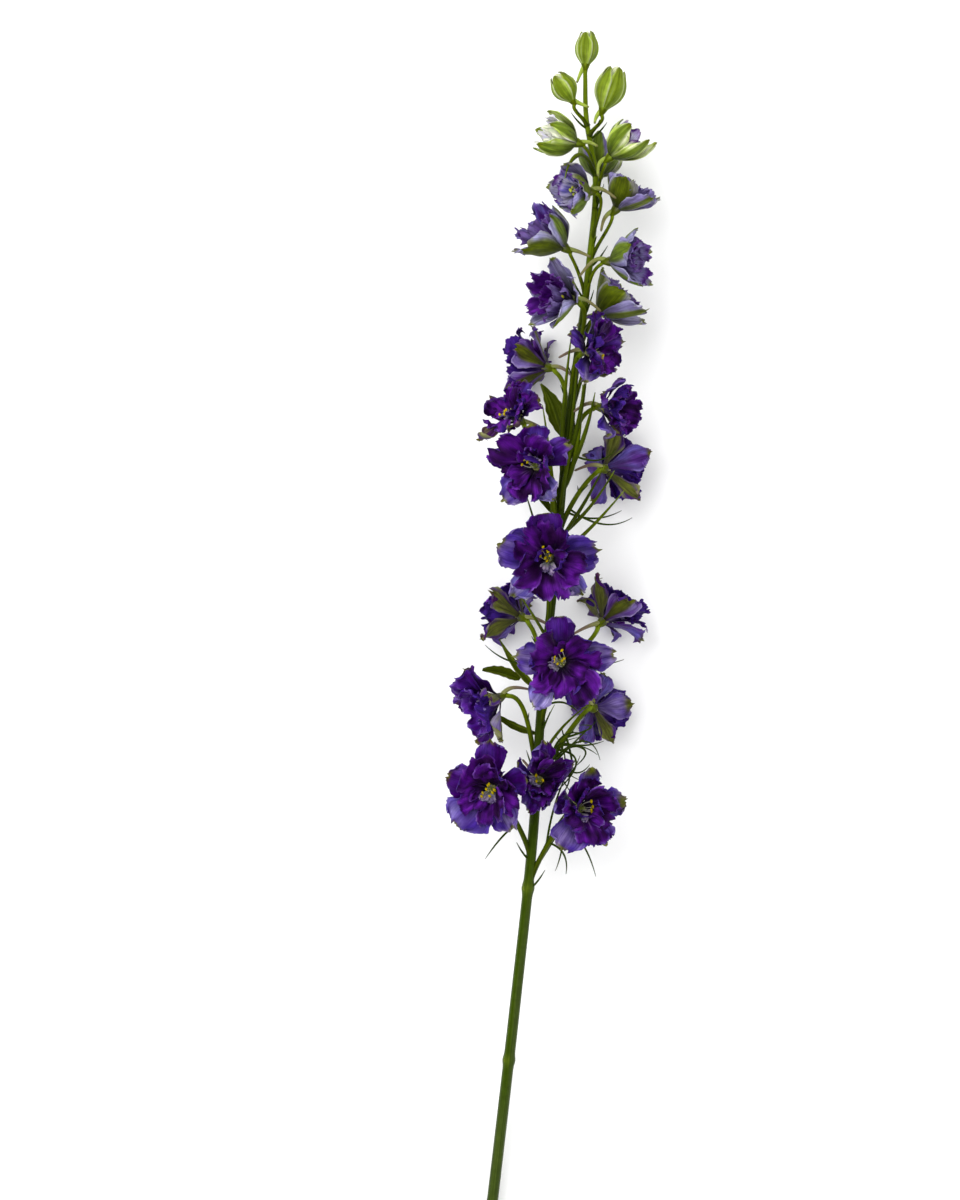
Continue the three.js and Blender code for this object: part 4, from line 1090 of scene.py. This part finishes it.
def add_bud(piece, bloom, random):
    """A closed bud: a core, and five sepals rolled round it, each over the next one's edge."""
    t = np.linspace(0.02, 0.985, 24)
    core = bud_point(bloom, t[:, None], around(30), -BUD_CORE_INSET)
    ends = bloom.place(0, 0, [CUP_BACK, bloom.size])
    add_rounds(piece, core, ends, t, 1, fade(YELLOW_GREEN, CREAM_GREEN, 1), hub=0)
    u, v = sheet_grid(*BUD_GRID)
    for i in range(BUD_RIBS):
        reach = 0.99 - 0.07 * random()
        wide = (np.pi / BUD_RIBS) * (1.12 + 0.25 * random())
        wide = wide * (1 - 0.45 * smooth(u, 0.72, 1) * u) * smooth(u, -0.25, 0.2)
        angle = 2 * np.pi * i / BUD_RIBS + math.radians(BUD_TURNS[bloom.name]) + wide * v
        out = 0.1 + 0.55 * (v + 1) / 2 * smooth(u, 0.05, 0.4) + 0.6 * smooth(u, 0.84, 1)
        out = out + 0.13 * np.cos(9 * v) * smooth(u, 0.1, 0.5) * (1 - 0.6 * u)
        tip = reach * (1 - 0.05 * v * v * u)
        middle = bud_point(bloom, 0.015 + tip * u, angle, out)
        light = 0.5 + 0.5 * np.sin(3 * u + 2 * v + i)
        rib = 1 - smooth(np.abs(v), 0.3, 0.95)
        vein = smooth(np.cos(13 * v + 0.6 * np.sin(5 * u + i)), 0.55, 1) * smooth(u, 0.0, 0.3)
        edge = smooth(np.abs(v), 0.82, 0.95)
        # Painted highlight: pale streaks along each sepal, strongest at its middle.
        painted_highlight = smooth(np.cos(9 * v + 1.6 + 0.5 * np.sin(4 * u)), 0.7, 1) * np.sin(np.pi * u) ** 2
        colour = paint(
            mix(bloom.look["sepal_back"], bloom.look["margin"], 0.35 * light),
            (mix(bloom.look["rib"], RIB_GREEN, 0.25 + 0.4 * u), 0.85 * rib),
            (mix(DARK_GREEN, RIB_GREEN, 0.5), 0.4 * vein),
            (mix(CREAM_GREEN, PALE_LAVENDER, 0.4 * u), 0.7 * edge),
            (CREAM_GREEN, 0.4 * painted_highlight * light),
            (BUD_TIP, 0.5 * smooth(u, 0.82, 1) * (0.4 + 0.6 * light)),
        )
        half = BUD_SEPAL_HALF * (1 - 0.5 * v**6)
        add_sheet(piece, u, v, middle, half, 3.0 * i, colour, colour)


# ---------- stem, stalks, threads


def stalk_path(bloom, count=40):
    start = stem_point(bloom.join)
    end = bloom.place(-STALK_END_ASIDE, 0, -STALK_END_BACK)
    span = end - start
    length = np.linalg.norm(span)
    lead = start + 0.22 * span + vec((0, 0.18 * length, 0))
    late = end - length * bloom.aim(0.1, 0, 0.24)
    return bezier(start, lead, late, end, count=count)


def add_thread(piece, controls, radius, count=16):
    """A fine tapering thread."""
    path = bezier(*controls, count=count)
    t = np.linspace(0, 1, count)
    add_tube(piece, path, radius * (1.1 - 0.85 * t**2.4), 6, fade(STEM_GREEN, STEM_DARK, 0.6))


def add_bract(piece, root, heading, length, curl, radius=THREAD_RADIUS):
    way = unit(heading)
    lead = root + 0.4 * length * way
    tip = root + 0.8 * length * way + vec((0, curl * length, 0))
    add_thread(piece, (root, lead, tip), radius)


def stem_colour(t, turn):
    """Darker among the flowers, a painted shade, green under them, and lower down lighter and greyer on
    one side, a painted sheen, and grey-green all round below the lower knot.
    """
    y = STEM_LINE[0][1] + t * (STEM_LINE[-1][1] - STEM_LINE[0][1])
    # Painted sheen: one side lower down is lighter and greyer; below the lower knot the stem is
    # grey-green all round.
    sheen_and_grey_foot = smooth(np.cos(turn + 0.3 * np.sin(y / 19)), -0.25, 0.35) * (1 - 0.8 * smooth(y, 130, 230))
    sheen_and_grey_foot = np.maximum(sheen_and_grey_foot, 0.85 * (1 - smooth(y, 86, 112)))
    knots = [(PALE_OLIVE, 0.4 * bell(y - at, 1.2 * half) * (1 - sheen_and_grey_foot)) for at, _, half in STEM_KNOTS]
    return paint(
        mix(STEM_GREEN, STEM_GREY, sheen_and_grey_foot),
        # Painted shade among the flowers.
        (mix(STEM_GREEN, STEM_DARK, 0.8), smooth(y, 215, 260)),
        (mix(RIB_GREEN, BUD_GREEN, 0.3), smooth(y, 390, 440)),
        *knots,
        (mix(STEM_GREY, YELLOW_GREEN, 0.3), 0.05 + 0.05 * np.cos(8 * turn)),
    )


def add_stem(piece):
    y = STEM_PATH[:, 1]
    radii = np.interp(y, [p[0] for p in STEM_RADII], [p[1] for p in STEM_RADII])
    for at, extra, half_length in STEM_KNOTS:
        radii = radii + extra * bell(y - at, half_length)
    path = STEM_PATH.copy()
    path[:, 2] = np.maximum(path[:, 2], radii * 1.03 + 0.02)
    path = np.vstack([path, BLOOMS[0].place(0, 0, -STEM_INSIDE_BACK)])
    radii = np.append(radii, 0.95)
    add_tube(piece, path, radii, 32, stem_colour, ribs=8, rib_depth=0.025)
    cut = path[0]
    pith = [cut + vec((0, d, 0)) for d in (-0.25, -0.15, 0.05, 1.0)]
    add_tube(piece, pith, [1.2, 1.55, 1.7, 1.6], 24, mix(PITH, CREAM_GREEN, 0.5))
    for at, _, _ in STEM_KNOTS:
        scar = stem_point(at) + vec((-0.9, 0, 1.5))
        turn = np.linspace(0.3, 5.9, 22)
        ring = scar + np.column_stack([0.85 * np.cos(turn), 1.05 * np.sin(turn), np.full(22, 0.25)])
        add_tube(piece, ring, 0.26, 8, mix(OLIVE, PALE_OLIVE, 0.6))
        pit = [scar + vec((0, d, 0.12)) for d in (-0.7, -0.25, 0.25, 0.7)]
        add_tube(piece, pit, [0.2, 0.45, 0.45, 0.2], 10, mix(STEM_DARK, STEM_GREEN, 0.3))


def stalk_colour(t, turn, shade_lift=0.6):
    # Painted shade: darker at its foot among the blooms, lightening towards its bloom.
    body = mix(STEM_DARK, RIB_GREEN, 0.25 + shade_lift * smooth(t, 0, 0.7) + 0.15 * np.cos(3 * turn))
    return mix(body, mix(RIB_GREEN, YELLOW_GREEN, 0.4), smooth(t, 0.85, 1))


def add_stalk(piece, bloom):
    random = seeded_random(bloom.seed + STALK_SEED)
    detail = seeded_random(bloom.seed + BRACT_SEED)
    path = stalk_path(bloom)
    young = bloom.join > YOUNG_ABOVE_Y
    radius = YOUNG_STALK_RADIUS if young else OLD_STALK_RADIUS
    joined = evenly(np.vstack([path, bloom.place(0, 0, -STALK_INSIDE_BACK)]), len(path) + 4)
    t = np.linspace(0, 1, len(joined))
    length = lengths_along(joined)[-1]
    foot = 0.6 * np.exp(-t * length / 1.6)
    swell = 0.25 * np.exp(-(1 - t) * length / 1.4)
    add_tube(piece, joined, radius * (1.15 - 0.25 * t) + foot + swell, 12, stalk_colour, **FINE_RIBS)
    middle = path[len(path) // 2]
    outward = middle - path[0]
    outward[1] *= 0.3
    way = 1 if random() < 0.5 else -1
    bract_length = 5 if bloom.name in SHORT_BRACTS else 9 + 5 * random()
    add_bract(piece, stem_point(bloom.join - 1), outward, bract_length, 0.35)
    at = int(0.6 * (len(path) - 1))
    tangent = unit(path[at + 1] - path[at])
    for turn, size in ((way, 5 + 3 * random()), (-way, 3 + 2.5 * detail())):
        if young:
            size *= 0.6
        heading = 0.8 * tangent + 0.7 * turn * bloom.side
        add_bract(piece, path[at], heading, size, 0.1, 0.3)


def add_leaf(piece, controls, half_width, facing, seed):
    """A narrow leaf along a curve, folded a little along its midrib; facing is where its face looks."""
    path = bezier(*controls, count=LEAF_GRID[0] + 1)
    tangents = np.gradient(path, axis=0)
    across = unit(np.cross(tangents, unit(vec(facing))))
    up = unit(np.cross(across, tangents))
    u, v = sheet_grid(*LEAF_GRID)
    half = half_width * (0.12 + 0.88 * np.sin(np.pi * np.minimum(1, u**0.8)) ** 1.1)
    half = half * (1 - 0.06 * np.cos(31 * u))
    fold = 0.35 * half * v * v + 0.06 * half * np.cos(13 * v)
    lift = fold + 0.25 * half_width * np.sin(6 * u + seed) * v
    middle = path[:, None] + across[:, None] * (v * half)[..., None] + up[:, None] * lift[..., None]
    light = 0.5 + 0.5 * np.sin(4 * u + 3 * v + seed)
    vein = smooth(np.cos(13 * v + 1.5 * np.sin(3 * u + seed)), 0.3, 1)
    colour = paint(
        mix(DARK_GREEN, OLIVE, 0.3 + 0.4 * light),
        (mix(DARK_GREEN, STEM_DARK, light), 0.5 * bell(v, 0.2)),
        (mix(DARK_GREEN, PALE_OLIVE, light), 0.5 * vein),
        (mix(PALE_OLIVE, LAVENDER, light), 0.3 * smooth(np.abs(v), 0.8, 1)),
    )
    add_sheet(piece, u, v, middle, LEAF_HALF * (1 - 0.5 * v**6), seed, colour, colour)


# ---------- materials


def new_material(name):
    material = bpy.data.materials.new(name)
    material.use_nodes = True
    return material, material.node_tree.nodes["Principled BSDF"]


def feed(node, sockets):
    """Sets a node's inputs to values, or links them to outputs of other nodes."""
    for key, value in sockets.items():
        if isinstance(value, bpy.types.NodeSocket):
            node.id_data.links.new(value, node.inputs[key])
        else:
            node.inputs[key].default_value = value


def tissue(name, vein_scale, dark, light, roughness, gloss_tint, subsurface, bump):
    """Plant tissue: the piece's own tint, darker and lighter along veins that follow its fan, with
    mottling, and a satin surface whose gloss and relief follow both."""
    material, shader = new_material(name)

    def node(kind, sockets, **fields):
        made = material.node_tree.nodes.new(kind)
        for key, value in fields.items():
            setattr(made, key, value)
        feed(made, sockets)
        return made.outputs

    def multiplied(colour, by):
        sockets = {"Factor": 1.0, 6: colour, 7: (*by, 1)}
        return node("ShaderNodeMix", sockets, data_type="RGBA", blend_type="MULTIPLY")[2]

    tint = node("ShaderNodeAttribute", {}, attribute_name="tint")["Color"]
    fan = node("ShaderNodeAttribute", {}, attribute_name="fan")["Vector"]
    stretched = node("ShaderNodeMapping", {"Vector": fan, "Scale": vein_scale})["Vector"]
    sockets = {"Vector": stretched, "Scale": 1.0, "Detail": 4.0, "Roughness": 0.6, "Distortion": 0.25}
    veins = node("ShaderNodeTexNoise", sockets)["Fac"]
    place = node("ShaderNodeTexCoord", {})["Object"]
    sockets = {"Vector": place, "Scale": MOTTLE_SCALE, "Detail": 3.0, "Roughness": 0.55}
    mottle = node("ShaderNodeTexNoise", sockets)["Fac"]
    contrast = node("ShaderNodeMapRange", {"Value": veins, "From Min": 0.33, "From Max": 0.67})["Result"]
    sockets = {"Factor": contrast, 6: multiplied(tint, dark), 7: multiplied(tint, light)}
    veined = node("ShaderNodeMix", sockets, data_type="RGBA")[2]
    sockets = {"Value": mottle, "From Min": 0.3, "From Max": 0.7, "To Min": 0.84, "To Max": 1.14}
    value = node("ShaderNodeMapRange", sockets)["Result"]
    toned = node("ShaderNodeHueSaturation", {"Value": value, "Color": veined})["Color"]
    sockets = {"Value": mottle, "To Min": roughness - 0.1, "To Max": roughness + 0.12}
    gloss = node("ShaderNodeMapRange", sockets)["Result"]
    relief = node("ShaderNodeMath", {0: mottle, 1: 0.3, 2: veins}, operation="MULTIPLY_ADD")["Value"]
    bumps = node("ShaderNodeBump", {"Height": relief, "Strength": bump, "Distance": BUMP_DEPTH})["Normal"]
    feed(shader, {
        "Base Color": toned, "Roughness": gloss, "Normal": bumps,
        "Specular IOR Level": 0.1, "Specular Tint": (*gloss_tint, 1),
        "Sheen Weight": 0.02, "Sheen Roughness": 0.4, "Sheen Tint": (*gloss_tint, 1),
        "Subsurface Weight": subsurface, "Subsurface Radius": (0.8, 0.5, 1.0),
        "Subsurface Scale": GLOW_DEPTH,
    })
    return material


MOTTLE_SCALE = 420.0
BUMP_DEPTH = 0.4 * MM
GLOW_DEPTH = 1.5 * MM
LILAC_GLOSS = (0.7, 0.3, 1.0)
PALE_GLOSS = (0.7, 0.7, 0.5)
GREEN_GLOSS = (0.8, 1.0, 0.3)
# Each tissue: how often veins cross and follow it, its darker and its lighter shade, roughness, gloss,
# how far light goes in and how deep its veins are.
PETAL = tissue(
    "petal_tissue", (17, 2.2, 1), (0.6, 0.52, 0.68), (1.3, 1.2, 1.26), 0.45, LILAC_GLOSS, 0.1, 0.7
)
YOUNG = tissue(
    "young_tissue", (14, 1.8, 1), (0.6, 0.62, 0.56), (1.25, 1.25, 1.2), 0.5, PALE_GLOSS, 0.1, 0.6
)
GREEN = tissue(
    "bud_tissue", (13, 1.6, 1), (0.58, 0.66, 0.64), (1.32, 1.22, 1.6), 0.45, GREEN_GLOSS, 0.1, 0.6
)
STEM = tissue("stem_skin", (6, 1.5, 6), (0.6, 0.68, 0.48), (1.4, 1.35, 1.2), 0.4, GREEN_GLOSS, 0.0, 0.5)
SPUR = tissue("spur_skin", (5, 4, 5), (0.62, 0.58, 0.56), (1.2, 1.2, 1.15), 0.5, GREEN_GLOSS, 0.1, 0.6)
STAMEN = tissue(
    "stamen_tissue", (4, 4, 4), (0.7, 0.66, 0.5), (1.15, 1.12, 1.0), 0.7, GREEN_GLOSS, 0.1, 0.6
)

# ---------- the whole spike


def make_bud(bloom):
    piece = Piece()
    add_bud(piece, bloom, seeded_random(bloom.seed))
    add_cup_and_spur(piece, bloom, 0.9)
    piece.make(f"{bloom.name}_sepals", [bloom.name], GREEN)


def make_young(bloom, material, greenness):
    piece = Piece()
    add_corolla(piece, bloom)
    add_cup_and_spur(piece, bloom, greenness)
    length = YOUNG_STAMEN_SHARE * bloom.size
    tuft = (YOUNG_STAMENS, length, YOUNG_STAMEN_SPREAD, YOUNG_CARPEL_RADIUS, YOUNG_ANTHER)
    add_stamens(piece, bloom, *tuft)
    piece.make(f"{bloom.name}_bloom", [bloom.name], material)


def make_floret(bloom):
    corolla = Piece()
    add_corolla(corolla, bloom)
    corolla.make(f"{bloom.name}_corolla", [f"{bloom.name}_petals"], PETAL)
    back = Piece()
    add_cup_and_spur(back, bloom, 0.1)
    back.make(f"{bloom.name}_nectar_spur", [f"{bloom.name}_spur"], SPUR)
    tuft = Piece()
    add_stamens(tuft, bloom, TUFT_COUNTS.get(bloom.name, TUFT_COUNT), STAMEN_LENGTH, STAMEN_SPREAD)
    tuft.make(f"{bloom.name}_tuft", [f"{bloom.name}_stamens"], STAMEN)


def make_stem():
    piece = Piece()
    add_stem(piece)
    for bloom in BLOOMS:
        if bloom.join is not None:
            add_stalk(piece, bloom)
    for name, along, via, tip in LONG_THREADS:
        path = stalk_path(BY_NAME[name])
        root = path[round(along * (len(path) - 1))]
        add_thread(piece, (root, via, tip), THREAD_RADIUS, count=28)
    for number, (*controls, half_width, facing) in enumerate(LEAVES):
        add_leaf(piece, controls, half_width, facing, number)
    for number, (*controls, radius) in enumerate(SLIM_BRACTS):
        path = bezier(*controls, count=30)
        t = np.linspace(0, 1, 30)
        # How far each bract's painted shade lightens towards its tip.
        shade_lift = 0.7 * (0.37 * number % 1)
        bract_colour = partial(stalk_colour, shade_lift=shade_lift)
        add_tube(piece, path, radius * (1.15 - 0.95 * t**2.2), 10, bract_colour, **FINE_RIBS)
    piece.make("stem_and_stalks", ["stem"], STEM)


make_stem()
for bloom in BLOOMS:
    if bloom.kind == "bud":
        make_bud(bloom)
    elif bloom.kind == "opening":
        make_young(bloom, GREEN, 0.8)
    elif bloom.kind == "half":
        make_young(bloom, YOUNG, 0.35)
    else:
        make_floret(bloom)

# ---------- floor, light, camera

VIEW_CENTRE = (0.0, 0.3)
CAMERA_HEIGHT = 1.363
LIT_POINT = (0.03, 0.3, 0.02)
SKY_STRENGTH = 0.95
FLOOR_HALF = 4

scene = bpy.context.scene
scene.view_settings.view_transform = "Standard"

floor_mesh = bpy.data.meshes.new("floor")
corners = [(x * FLOOR_HALF, y * FLOOR_HALF, 0) for x, y in ((-1, -1), (1, -1), (1, 1), (-1, 1))]
floor_mesh.from_pydata(corners, [], [(0, 1, 2, 3)])
floor = add_object("floor", floor_mesh)
floor_material, floor_shader = new_material("pale_floor")
feed(floor_shader, {"Base Color": (0.95, 0.95, 0.95, 1), "Roughness": 1.0, "Specular IOR Level": 0.0})
floor_mesh.materials.append(floor_material)

world = bpy.data.worlds.new("studio")
world.use_nodes = True
feed(world.node_tree.nodes["Background"], {"Color": (1, 1, 1, 1), "Strength": SKY_STRENGTH})
scene.world = world


def area_light(name, place, size, power):
    """A square soft light that faces the middle of the spike."""
    data = bpy.data.lights.new(name, "AREA")
    data.shape = "SQUARE"
    data.size = size
    data.energy = power
    light = add_object(name, data)
    light.location = place
    away = vec(place) - LIT_POINT
    flat = math.hypot(away[0], away[1])
    light.rotation_euler = (math.atan2(flat, away[2]), 0, math.atan2(away[0], -away[1]))


area_light("key", (-0.9, 1.2, 1.6), 1.8, 34)
area_light("fill", (1.4, -0.3, 1.2), 1.6, 6)

camera_data = bpy.data.cameras.new("camera")
camera_data.lens = 100
camera_data.sensor_fit = "VERTICAL"
camera_data.sensor_height = 36
camera = add_object("camera", camera_data)
camera.location = (*VIEW_CENTRE, CAMERA_HEIGHT)
scene.camera = camera
